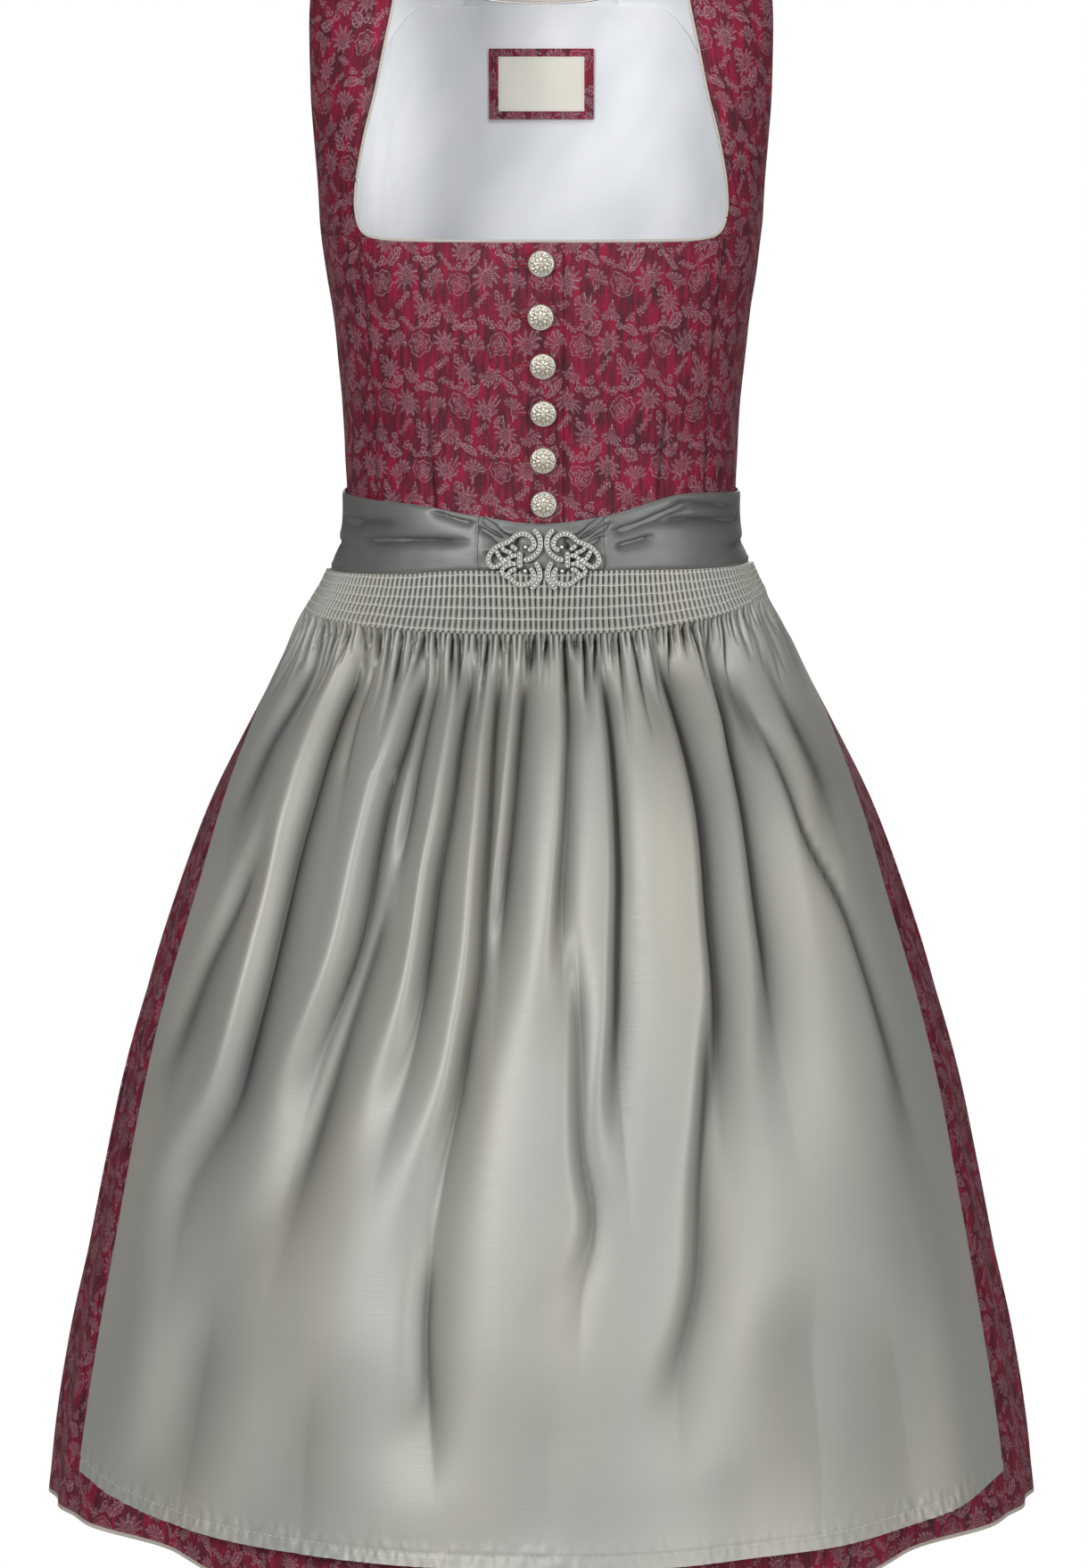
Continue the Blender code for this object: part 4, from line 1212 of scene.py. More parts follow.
def round_cord(name: str, points: Array, radius: float, sides: int, closed: bool, finish: Finish) -> Object:
    """A round cord along points.

    Args:
        name: the piece's name.
        points: the centreline.
        radius: the cord's radius.
        sides: how many sides it has.
        closed: whether its ends meet.
        finish: its finish.

    Returns:
        The object.
    """
    ahead = (np.roll(points, -1, 0) - np.roll(points, 1, 0)) if closed else np.gradient(points, axis=0)
    ahead = ahead / np.linalg.norm(ahead, axis=1, keepdims=True)
    beside = np.cross(ahead, [0.0, 0.0, 1.0])
    short = np.linalg.norm(beside, axis=1) < 0.2
    beside[short] = np.cross(ahead[short], [1.0, 0.0, 0.0])
    beside /= np.linalg.norm(beside, axis=1, keepdims=True)
    above = np.cross(beside, ahead)
    turns = np.arange(sides) * 2 * math.pi / sides
    beside, above = beside[:, None], above[:, None]
    around = beside * np.cos(turns)[None, :, None] + above * np.sin(turns)[None, :, None]
    return ring_mesh(name, points[:, None] + radius * around, finish, closed)


def placed(obj: Object, slot: str, *nodes: str) -> Object:
    """Let a piece ride on the dress and stand for its nodes.

    Args:
        obj: the piece.
        slot: its material slot; not used.
        nodes: the nodes of the solids that it replaces.

    Returns:
        The piece.
    """
    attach(obj, BODY_NAME)
    if nodes:
        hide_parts(*nodes)
    faces = len(obj.data.polygons)
    log.info("%s: %d faces for %s", obj.name, faces, ", ".join(nodes) or "nothing in the solids")
    return obj


def joined(name: str, objects: Sequence[Object]) -> Object:
    """Join objects into the first one, under a new name.

    Args:
        name: the new name.
        objects: the objects.

    Returns:
        The first one, with all their meshes.
    """
    whole = objects[0]
    if len(objects) > 1:
        with bpy.context.temp_override(
            active_object=whole, selected_editable_objects=list(objects), selected_objects=list(objects)
        ):
            bpy.ops.object.join()
    whole.name = name
    whole.data.name = name
    return whole


def realised(obj: Object, tree: NodeTree, values: dict[str, object]) -> Mesh:
    """Run a Geometry Nodes tree on an object, and keep the result as its plain mesh.

    Args:
        obj: the object, whose mesh is replaced.
        tree: the tree.
        values: the identifier of each input, and its value.

    Returns:
        The new mesh.
    """
    modifier = obj.modifiers.new("nodes", "NODES")
    modifier.node_group = tree
    for identifier, value in values.items():
        modifier[identifier] = value
    obj.data = bpy.data.meshes.new_from_object(obj.evaluated_get(bpy.context.evaluated_depsgraph_get()))
    obj.modifiers.clear()
    return obj.data


class Scatter:
    """A Geometry Nodes tree that sets a small shape on every point of a carrier mesh."""

    def __init__(self, unit: Unit, finish: Finish) -> None:
        """Build the tree.

        Args:
            unit: the small shape.
            finish: its finish.
        """
        self.unit = unit
        inputs = {"Geometry": "Geometry", "Size": "Vector"}
        name = f"scatter_{unit.value}_{finish.name}"
        self.tree, self.sockets = socket_tree(name, "GeometryNodeTree", inputs, {"Geometry": "Geometry"})
        tree = self.tree
        tree.is_modifier = True
        given = add(tree, "NodeGroupInput").outputs
        turn = add(tree, "GeometryNodeInputNamedAttribute", {"Name": "turn"}, data_type="FLOAT_VECTOR")
        rotation = add(tree, "FunctionNodeEulerToRotation", {0: turn.outputs[0]})
        limits = {"Min": (0.94,) * 3, "Max": (1.06,) * 3, "Seed": 7}
        uneven = add(tree, "FunctionNodeRandomValue", limits, data_type="FLOAT_VECTOR")
        sizes = {0: given["Size"], 1: uneven.outputs[0]}
        scale = add(tree, "ShaderNodeVectorMath", sizes, operation="MULTIPLY")
        inputs = {
            "Points": given["Geometry"],
            "Instance": self.shape(tree),
            "Rotation": rotation.outputs[0],
            "Scale": scale.outputs[0],
        }
        on_points = add(tree, "GeometryNodeInstanceOnPoints", inputs)
        real = add(tree, "GeometryNodeRealizeInstances", {"Geometry": on_points.outputs[0]})
        inputs = {"Geometry": real.outputs[0], "Material": finish.material()}
        dressed = add(tree, "GeometryNodeSetMaterial", inputs)
        add(tree, "NodeGroupOutput", {"Geometry": dressed.outputs[0]})

    def shape(self, tree: NodeTree) -> NodeSocket:
        """The unit's mesh, 1 across, with +Z out of the surface and +X along.

        Args:
            tree: the tree to build it in.

        Returns:
            The socket that gives it.
        """
        if self.unit is Unit.STONE:
            inputs = {"Vertices": 8, "Radius Top": 0.27, "Radius Bottom": 0.5, "Depth": 0.5}
            return add(tree, "GeometryNodeMeshCone", inputs).outputs["Mesh"]
        segments, rings = (8, 5) if self.unit is Unit.STITCH else (10, 6)
        inputs = {"Segments": segments, "Rings": rings, "Radius": 0.5}
        return add(tree, "GeometryNodeMeshUVSphere", inputs).outputs["Mesh"]

    def build(self, name: str, points: Array, along: Array, out: Array, size: tuple) -> Object:
        """Set the shape on points.

        Args:
            name: the piece's name.
            points: where each one sits.
            along: its +X direction.
            out: its +Z direction, out of the surface.
            size: its length, width and height in metres.

        Returns:
            The object, as a plain mesh.
        """
        points, along, out = (np.asarray(a, float).reshape(-1, 3) for a in (points, along, out))
        turns = []
        for direction, normal in zip(along, out):
            z = Vector(normal).normalized()
            y = z.cross(Vector(direction)).normalized()
            x = y.cross(z)
            turns.extend(Matrix((x, y, z)).transposed().to_euler())
        carrier = bpy.data.meshes.new(f"{name}_points")
        carrier.from_pydata(points.tolist(), [], [])
        store(carrier, "turn", np.array(turns).reshape(-1, 3))
        obj = linked(name, carrier)
        mesh = realised(obj, self.tree, {self.sockets["Size"]: size})
        mesh.name = name
        if self.unit is not Unit.STONE:
            mesh.shade_smooth()
        return obj


@dataclass
class Bodice:
    """The fitted top: two fronts that lap and button, four side panels with the straps, and the back."""

    lap_edge: float = 0.0140
    lap_rise: float = 0.0030
    lap_step: float = 0.0017
    underlap: float = -0.0100
    dart_at: tuple[float, float] = (-0.0745, 0.0815)
    dart_top: float = -0.300
    dart_depth: float = 0.0016
    wrinkle: float = 0.0009
    back_seam_top: float = 0.050

    def build(self) -> None:
        """Make all the panels."""
        for side in Side:
            self.front(side)
            self.side_panel(side, back=False)
            self.side_panel(side, back=True)
        self.back()

    def creases(self, x: Array, station: Array, seed: int) -> Array:
        """Soft pulls of fitted cloth, strongest just above the waist.

        Args:
            x: metres across the panel.
            station: the place's station.
            seed: the seed of the pulls.

        Returns:
            How far the cloth stands out.
        """
        low = 1 - ease(station, -0.385, -0.270)
        pulls = soft_noise(x / 0.034 + station / 0.10, station / 0.030, seed)
        long = soft_noise(x / 0.016, station / 0.075, seed + 1)
        return self.wrinkle * (pulls * (0.35 + 0.65 * low) + 0.45 * long)

    def front(self, side: Side) -> None:
        """A front panel.

        Args:
            side: the wearer's side; the right front laps over the left one.
        """
        sign = side.value
        rise, share = shares(90).T, shares(110)
        station = WAIST + rise * (NECK_BOTTOM - WAIST) + 0.0 * share
        seam = sign * monotone(FRONT_SEAM, "at", station[:, :1])
        seam_x = np.abs(FORM.point(seam, station[:, :1])[..., 0]) - SEAM_GAP / 2
        if side is Side.RIGHT:
            x = -seam_x + share * (self.lap_edge + seam_x)
            offset = 0.0003 - 0.0007 * ease(x, self.lap_edge - 0.0012, self.lap_edge)
        else:
            x = self.underlap + share * (seam_x - self.underlap)
            start = self.lap_edge + SEAM_GAP
            offset = -self.lap_step * (1 - ease(x, start, start + self.lap_rise))
        station = station + rise * ease(np.abs(x), 0.096, 0.1135) * 0.0020
        angle = FORM.angle_at(x, station)
        dart = self.dart_at[0] if side is Side.RIGHT else self.dart_at[1]
        dart_x = dart * (0.93 + 0.07 * ease(station, WAIST, self.dart_top))
        fade = 1 - ease(station, self.dart_top - 0.035, self.dart_top)
        groove = self.dart_depth * fade * np.exp(-(((x - dart_x) / 0.0013) ** 2))
        edges = seam_dip(FORM.layer(angle, station, offset)) * ease(np.abs(x), 0.03, 0.05)
        top = ease(station, NECK_BOTTOM - 0.012, NECK_BOTTOM)
        relief = self.creases(x, station, 11 + sign) * (1 - top) * ease(np.abs(x), 0.010, 0.030)
        offset = offset + relief - groove - edges
        along = run_length(FORM.layer(angle, station, offset), axis=1)
        middle = np.array([[np.interp(0.0, row_x, row)] for row_x, row in zip(x, along)])
        # Painted shade in the seam and dart grooves, by how deep they dip.
        hollow = edges / 0.0013 + groove / self.dart_depth
        obj = self.panel(f"front_{side.word}", angle, station, offset, middle, hollow)

    def panel(
        self, name: str, angle: Array, station: Array, offset: Array, middle: Array, hollow: Array
    ) -> Object:
        """A panel of jacquard with the lining's finish inside.

        Args:
            name: the panel's name, without the bodice.
            angle: the angle of each place.
            station: the station of each place.
            offset: how far each place lies outside the form.
            middle: metres from the first column to the grain line.
            hollow: how deep in a seam or a dart each place lies.

        Returns:
            The object.
        """
        node, cloth = f"bodice_{name}", WARDROBE.jacquard
        more = {"inside": WARDROBE.lining, "middle": middle, "hollow": hollow}
        return Panel(node, "cloth", "jacquard", cloth, angle, station, offset, **more).build()

    def side_panel(self, side: Side, back: bool) -> None:
        """A side panel, from the waist up into its strap.

        Args:
            side: the wearer's side.
            back: whether it is the one behind the side seam.
        """
        sign = side.value
        crown = FORM.back_crown if back else FORM.front_crown
        corner = FRONT_NECK[0].height
        seam_end = BACK_SEAM[-1].height
        extra = (UNDERARM, UNDERARM + 0.0015, UNDERARM + 0.0035, corner + 0.0001, seam_end, seam_end + 0.0006)
        heights = np.concatenate([np.linspace(WAIST, -0.002, 112), extra])
        share = shares(44)
        station = np.unique(np.append(FORM.station_of(heights, crown), -SEAM_GAP / 4))[:, None] + 0 * share
        height = FORM.height_of(station[:, :1], crown)
        reach = monotone(ARMHOLE, "at", height)
        if back:
            below, seam = height < FORM.back_top(self.back_seam_top), monotone(BACK_SEAM, "at", height)
            first, away = np.where(below, seam, FORM.back_neck_angle(station[:, :1])), -1.0
        else:
            below, seam = height < corner, monotone(FRONT_SEAM, "at", height)
            first, away = np.where(below, seam, FORM.front_neck_angle(station[:, :1])), 1.0
        last = 90.0 - away * reach
        first = first + away * FORM.gap_degrees(first, station[:, :1])
        last = last - away * FORM.gap_degrees(last, station[:, :1])
        angle = sign * FORM.spread(first, last, share, station)
        flat = FORM.layer(angle, station, 0.0)
        x = run_length(flat, axis=1)
        fitted = 1 - ease(station, -0.24, -0.18)
        relief = self.creases(x, station, 31 + sign + 4 * back) * fitted
        edges = seam_dip(flat, 0.0007)
        offset = relief * ease(x, 0.0, 0.006) * ease(x[:, -1:] - x, 0.0, 0.006) - edges
        middle = x[:, -1:] / 2 + 0.021 * sign + 0.013 * back
        name = f"side_{'back' if back else 'front'}_{side.word}"
        # The seams' grooves get painted shade.
        obj = self.panel(name, angle, station, offset, middle, edges / 0.0012)

    def back(self) -> None:
        """The centre back, up to its shallow neckline."""
        rise, share = shares(110).T, shares(90)
        top = FORM.back_top(self.back_seam_top * (2 * share - 1))
        station = WAIST + rise * (FORM.station_of(top, FORM.back_crown) - WAIST)
        seam = monotone(BACK_SEAM, "at", FORM.height_of(station, FORM.back_crown))
        seam = seam + FORM.gap_degrees(seam, station)
        angle = FORM.spread(seam, 360.0 - seam, share, station)
        flat = FORM.layer(angle, station, 0.0)
        x = run_length(flat, axis=1)
        edges = seam_dip(flat)
        offset = self.creases(x, station, 51) * (1 - ease(rise, 0.85, 1.0)) - edges
        # The seams' grooves get painted shade.
        obj = self.panel("back", angle, station, offset, x[:, -1:] / 2, edges / 0.0013)


@dataclass
class Inside:
    """What shows inside the neck: the lining, the bare label and the piping round the edge."""

    gap: float = 0.0014
    wall: float = 0.0010
    reach: float = 88.0
    foot: float = -0.4010
    top: float = -0.0655
    side_top: float = -0.2190
    label_top: float = -0.0944
    label_wall: float = 0.0006
    mount_size: tuple[float, float] = (0.0708, 0.0474)
    card_size: tuple[float, float] = (0.0580, 0.0366)
    piping_radius: float = 0.0009

    def build(self) -> None:
        """Make the lining, the label and the piping."""
        self.lining()
        self.label()
        self.piping()

    def lining(self) -> None:
        """The pale back lining, from side seam to side seam."""
        rise, share = shares(70).T, shares(120)
        first, last = 180.0 - self.reach, 180.0 + self.reach
        turn = np.abs(180.0 - FORM.spread(first, last, share, np.array([[UNDERARM]])))
        top = self.top + (self.side_top - self.top) * ease(turn, 20.0, 74.0)
        station = self.foot + rise * (FORM.station_of(top, FORM.back_crown) - self.foot)
        angle = FORM.spread(first, last, share, station)
        x = run_length(FORM.layer(angle, station, 0.0), axis=1)
        soft = soft_noise(x / 0.060, station / 0.045, 71) + 0.4 * soft_noise(x / 0.022, station / 0.030, 72)
        inward = 0.0011 * (1 - soft) * (1 - ease(rise, 0.86, 0.97)) * ease(rise, 0.0, 0.1)
        offset = -CLOTH_WALL - self.gap - inward
        more = {"wall": self.wall}
        panel = Panel("lining_back", "cotton", "lining", WARDROBE.lining, angle, station, offset, **more)
        panel.build()

    def label(self) -> None:
        """A bare card on its burgundy mount, sewn down with short stitches."""
        middle = self.label_top - self.mount_size[1] / 2
        depth = CLOTH_WALL + self.gap + 0.0022 + self.wall + SEAM_GAP
        for name, size, slot, finish in (
            ("label_mount", self.mount_size, "jacquard", WARDROBE.jacquard),
            ("label_card", self.card_size, "card", WARDROBE.card),
        ):
            x = (shares(40) - 0.5) * size[0]
            height = middle + (shares(26).T - 0.5) * size[1]
            station = FORM.station_of(height, FORM.back_crown) + 0 * x
            angle = FORM.angle_at(x, station, back=True)
            angle = np.where(angle < 0, angle + 360.0, angle)
            puff = 0.0003 * ease(size[0] / 2 - np.abs(x), 0.0, 0.004)
            more = {"wall": self.label_wall + puff, "middle": size[0] / 2}
            obj = Panel(name, "cloth", slot, finish, angle, station, -depth, **more).build()
            depth += self.label_wall + SEAM_GAP
        self.label_stitches(middle, depth)

    def label_stitches(self, middle: float, depth: float) -> None:
        """Short stitches round the card's edge.

        Args:
            middle: the height of the card's middle.
            depth: how far inside the form the card's face lies.
        """
        wide, high = (s / 2 - 0.0012 for s in self.card_size)
        step = 0.0030
        across = np.arange(-wide, wide + step / 2, step)
        upward = np.arange(-high, high + step / 2, step)
        places = [(x, s * high) for s in (-1, 1) for x in across]
        places += [(s * wide, z) for s in (-1, 1) for z in upward]
        x, z = np.array(places).T
        station = FORM.station_of(middle + z, FORM.back_crown)
        angle = FORM.angle_at(x, station, back=True)
        points = FORM.layer(angle, station, -depth - 0.0002)
        vertical = np.arange(len(x)) >= 2 * len(across)
        along = np.where(vertical[:, None], [[0.0, 0.0, 1.0]], [[1.0, 0.0, 0.0]])
        inwards = -FORM.outward(angle, station)
        thread = Scatter(Unit.STITCH, WARDROBE.piping)
        obj = thread.build("label_stitches", points, along, inwards, (0.0019, 0.0004, 0.0003))
        placed(obj, "card")

    def piping(self) -> None:
        """A thin round cord just inside the whole neck edge."""
        clear = 0.0011
        heights = -np.concatenate([np.linspace(0.001, 0.196, 70), np.linspace(0.1985, 0.2110, 14)])
        strap = list(zip(-monotone(FRONT_NECK, "at", heights), FORM.station_of(heights, FORM.front_crown)))
        strap += [(-0.1105, -0.2121), (-0.1080, -0.2126), (-0.1050, -0.2130), (-0.1010, -0.2133)]
        strap += [(x, NECK_BOTTOM) for x in np.linspace(-0.096, 0.0, 30)]
        front = np.array(strap + [(-x, s) for x, s in reversed(strap[:-1])])
        turn = np.radians(np.linspace(2.0, 90.0, 50))
        widths = SHOULDER_INNER * np.cos(turn) ** 0.8
        half = [(x, float(FORM.station_of(FORM.back_top(x), FORM.back_crown))) for x in widths]
        rear = np.array(half + [(-x, s) for x, s in reversed(half[:-1])])
        points = []
        for path, back, inwards in ((front, False, 1.0), (rear, True, -1.0)):
            ahead = frame_along(path)
            moved = path + inwards * clear * np.stack([-ahead[:, 1], ahead[:, 0]], axis=1)
            angle = FORM.angle_at(moved[:, 0], moved[:, 1], back=back)
            points.append(FORM.layer(angle, moved[:, 1], -CLOTH_WALL / 2))
        whole = np.concatenate(points)
        cord = round_cord("neck_piping_cord", whole, self.piping_radius, 10, True, WARDROBE.piping)
        placed(cord, "piping", "neck_piping")


@dataclass(frozen=True)
class Fold:
    """A trough of the apron, whose sides fall over left and climb over right millimetres, depth deep."""

    left: float
    right: float
    depth: float
    path: tuple[Edge, ...]


def fold(left: float, right: float, depth: float, *path: tuple[float, float]) -> Fold:
    """A fold from its sides, its depth and the points of its path, each a height and a place from -1 to 1."""
    return Fold(left, right, depth, edge(*path[::-1]))


APRON_FOLDS = (
    fold(3, 8, 9, (-0.47, -0.90), (-0.51, -0.90), (-0.55, -0.92), (-0.62, -0.93)),
    fold(4, 12, 9, (-0.60, -0.84), (-0.64, -0.88), (-0.70, -0.92), (-0.80, -0.94)),
    fold(
        3, 20, 16, (-0.47, -0.73), (-0.52, -0.75), (-0.62, -0.75), (-0.76, -0.78), (-0.84, -0.86),
        (-0.91, -0.85),
    ),
    fold(2, 4, 7, (-0.47, -0.68), (-0.51, -0.69), (-0.58, -0.65)),
    fold(
        3, 14, 17, (-0.47, -0.47), (-0.53, -0.48), (-0.57, -0.51), (-0.66, -0.53), (-0.73, -0.58),
        (-0.82, -0.62),
    ),
    fold(2, 10, 10, (-0.47, -0.42), (-0.55, -0.42), (-0.64, -0.43)),
    fold(8, 16, 9, (-0.62, -0.45), (-0.66, -0.48), (-0.75, -0.54), (-0.89, -0.62)),
    fold(3, 14, 16, (-0.47, -0.28), (-0.55, -0.29), (-0.62, -0.31), (-0.71, -0.33), (-0.80, -0.39)),
    fold(
        3, 10, 16, (-0.47, -0.17), (-0.59, -0.17), (-0.66, -0.17), (-0.73, -0.20), (-0.80, -0.24),
        (-0.89, -0.27),
    ),
    fold(7, 9, 9, (-0.84, -0.26), (-0.89, -0.265), (-0.99, -0.23)),
    fold(3, 12, 14, (-0.47, -0.06), (-0.51, -0.07), (-0.61, -0.10), (-0.71, -0.13)),
    fold(2, 11, 10, (-0.47, 0.10), (-0.51, 0.10), (-0.57, 0.08), (-0.66, 0.06), (-0.72, 0.05)),
    fold(3, 12, 16, (-0.47, 0.25), (-0.53, 0.25), (-0.61, 0.24), (-0.73, 0.20), (-0.84, 0.21)),
    fold(5, 9, 8, (-0.66, 0.10), (-0.79, 0.11), (-0.83, 0.13), (-0.88, 0.09), (-0.93, 0.08)),
    fold(8, 12, 5, (-0.46, 0.37), (-0.49, 0.40), (-0.54, 0.45)),
    fold(4, 24, 17, (-0.46, 0.48), (-0.51, 0.50), (-0.57, 0.51), (-0.66, 0.49), (-0.77, 0.46), (-0.86, 0.44)),
    fold(6, 16, 9, (-0.70, 0.45), (-0.80, 0.39), (-0.87, 0.36), (-0.94, 0.30), (-1.01, 0.28)),
    fold(3, 14, 13, (-0.46, 0.71), (-0.52, 0.68), (-0.60, 0.65), (-0.70, 0.63), (-0.79, 0.62)),
    fold(7, 12, 8, (-0.47, 0.72), (-0.50, 0.74), (-0.55, 0.76)),
    fold(3, 8, 9, (-0.51, 0.78), (-0.54, 0.80), (-0.59, 0.81), (-0.66, 0.88), (-0.79, 0.91), (-0.86, 0.95)),
    fold(3, 9, 9, (-0.49, 0.89), (-0.55, 0.90), (-0.60, 0.91)),
    fold(34, 44, 9, (-0.88, 0.62), (-0.95, 0.60), (-1.05, 0.60)),
    fold(20, 26, 8, (-0.90, -0.74), (-0.97, -0.77), (-1.06, -0.78)),
    fold(30, 36, 7, (-0.93, -0.50), (-1.00, -0.51), (-1.06, -0.51)),
    fold(36, 42, 7, (-0.93, 0.02), (-1.00, 0.01), (-1.06, 0.01)),
    fold(26, 30, 6, (-0.90, 0.78), (-0.98, 0.80), (-1.06, 0.80)),
)


@dataclass
class Skirt:
    """The gathered jacquard skirt and the pale tape inside its hem."""

    under_apron: float = 0.0320
    under_belt: float = 0.0012
    back_folds: int = 16
    gathers: int = 44
    tape_height: float = 0.0025
    front_dip: float = 0.0310
    side_rise: float = 0.0070

    def dip(self, turn: Array) -> Array:
        """How far the hem hangs below its level, lower in front and a little higher at the sides.

        Args:
            turn: degrees from the centre front, unsigned.

        Returns:
            Metres below its level.
        """
        inward = 1 - np.abs(np.sin(np.radians(turn))) ** 1.14
        front = self.front_dip * ease(inward, 0.0, 0.44) * (turn < 90.0)
        return front - self.side_rise * (1 - ease(turn, 100.0, 150.0))

    def offset(self, turn: Array, station: Array, share: Array) -> Array:
        """How far the folded cloth lies outside the form.

        Args:
            turn: degrees from the centre front, unsigned.
            station: the place's station.
            share: the share of the way round this piece.

        Returns:
            The offset in metres.
        """
        drop = -station
        reach = monotone(APRON_SIDE, "at", station)
        covered = 1 - ease(turn, reach - 16.0, reach - 2.0)
        pressed = -self.under_apron * covered * (0.62 + 0.38 * ease(drop, 0.436, 0.560))
        pressed = pressed * ease(drop, 0.418, 0.462) - self.under_belt * (1 - ease(drop, 0.436, 0.470))
        phase = self.back_folds * (turn - 90.0) / 180.0
        phase = phase + 0.10 * np.sin(turn / 11.0) + 0.06 * np.sin(drop * 9 + turn / 7)
        behind = ease(turn, 92.0, 108.0)
        size = (0.0034 + 0.0080 * ease(drop, 0.47, 0.95)) * behind
        wave = np.cos(phase * 2 * math.pi)
        pleats = size * (wave + 0.16 * np.cos(2 * phase * 2 * math.pi + 0.6))
        side = 0.0022 * ease(turn, reach - 2.0, reach + 6.0) * (1 - ease(turn, 92.0, 100.0))
        pleats = pleats + side * np.cos(3 * (turn - 90.0) / 20.0 * math.pi) * ease(drop, 0.5, 0.7)
        small = np.cos(self.gathers * share * 2 * math.pi + 1.5 * soft_noise(share * 20, drop * 6, 91))
        length = 0.070 + 0.045 * soft_noise(share * 17, 0 * share, 92)
        gathers = 0.0017 * small * (1 - ease(drop, 0.44, 0.44 + length)) * (1 - covered)
        drape = 0.0022 * soft_noise(share * 9, drop / 0.16, 93) * ease(drop, 0.5, 0.7) * (1 - covered)
        return pressed + (pleats + gathers + drape) * ease(drop, 0.436, 0.480)

    def build(self) -> None:
        """Make the front and the back, each with its hem tape."""
        rise = shares(94).T
        station_line = HEM + rise * (WAIST - SEAM_GAP - HEM)
        gap = float(FORM.gap_degrees(np.array(90.0), np.array(-0.7)))
        for name, first, columns, width in (
            ("skirt_front", -90.0, 170, 0.92),
            ("skirt_back", 90.0, 230, 1.10),
        ):
            share = shares(columns)
            station = station_line + 0 * share
            angle = FORM.spread(first + gap, first + 180.0 - gap, share, station)
            turn = np.abs((angle + 180.0) % 360.0 - 180.0)
            station = station - self.dip(turn) * (1 - rise) ** 3
            offset = self.offset(turn, station, share + 0 * station)
            more = {"uv": gathered_map(width, share, FORM.layer(angle, station, 0.0))}
            obj = Panel(name, "cloth", "jacquard", WARDROBE.jacquard, angle, station, offset, **more).build()
            self.tape(name.replace("skirt", "hem_tape"), angle[:1], station[:1], offset[:1])

    def tape(self, name: str, angle: Array, hem: Array, offset: Array) -> None:
        """The pale tape along one piece's hem.

        Args:
            name: the tape's name.
            angle: the angle of each place of the hem.
            hem: the station of each place.
            offset: how far each place lies outside the form.
        """
        low = hem - SEAM_GAP - self.tape_height * (1 - shares(4).T)
        panel = Panel(name, "cotton", "piping", WARDROBE.tape, angle + 0 * low, low, offset + 0 * low)
        obj = panel.build()
        outer = FORM.layer(panel.angle, panel.station, panel.offset)


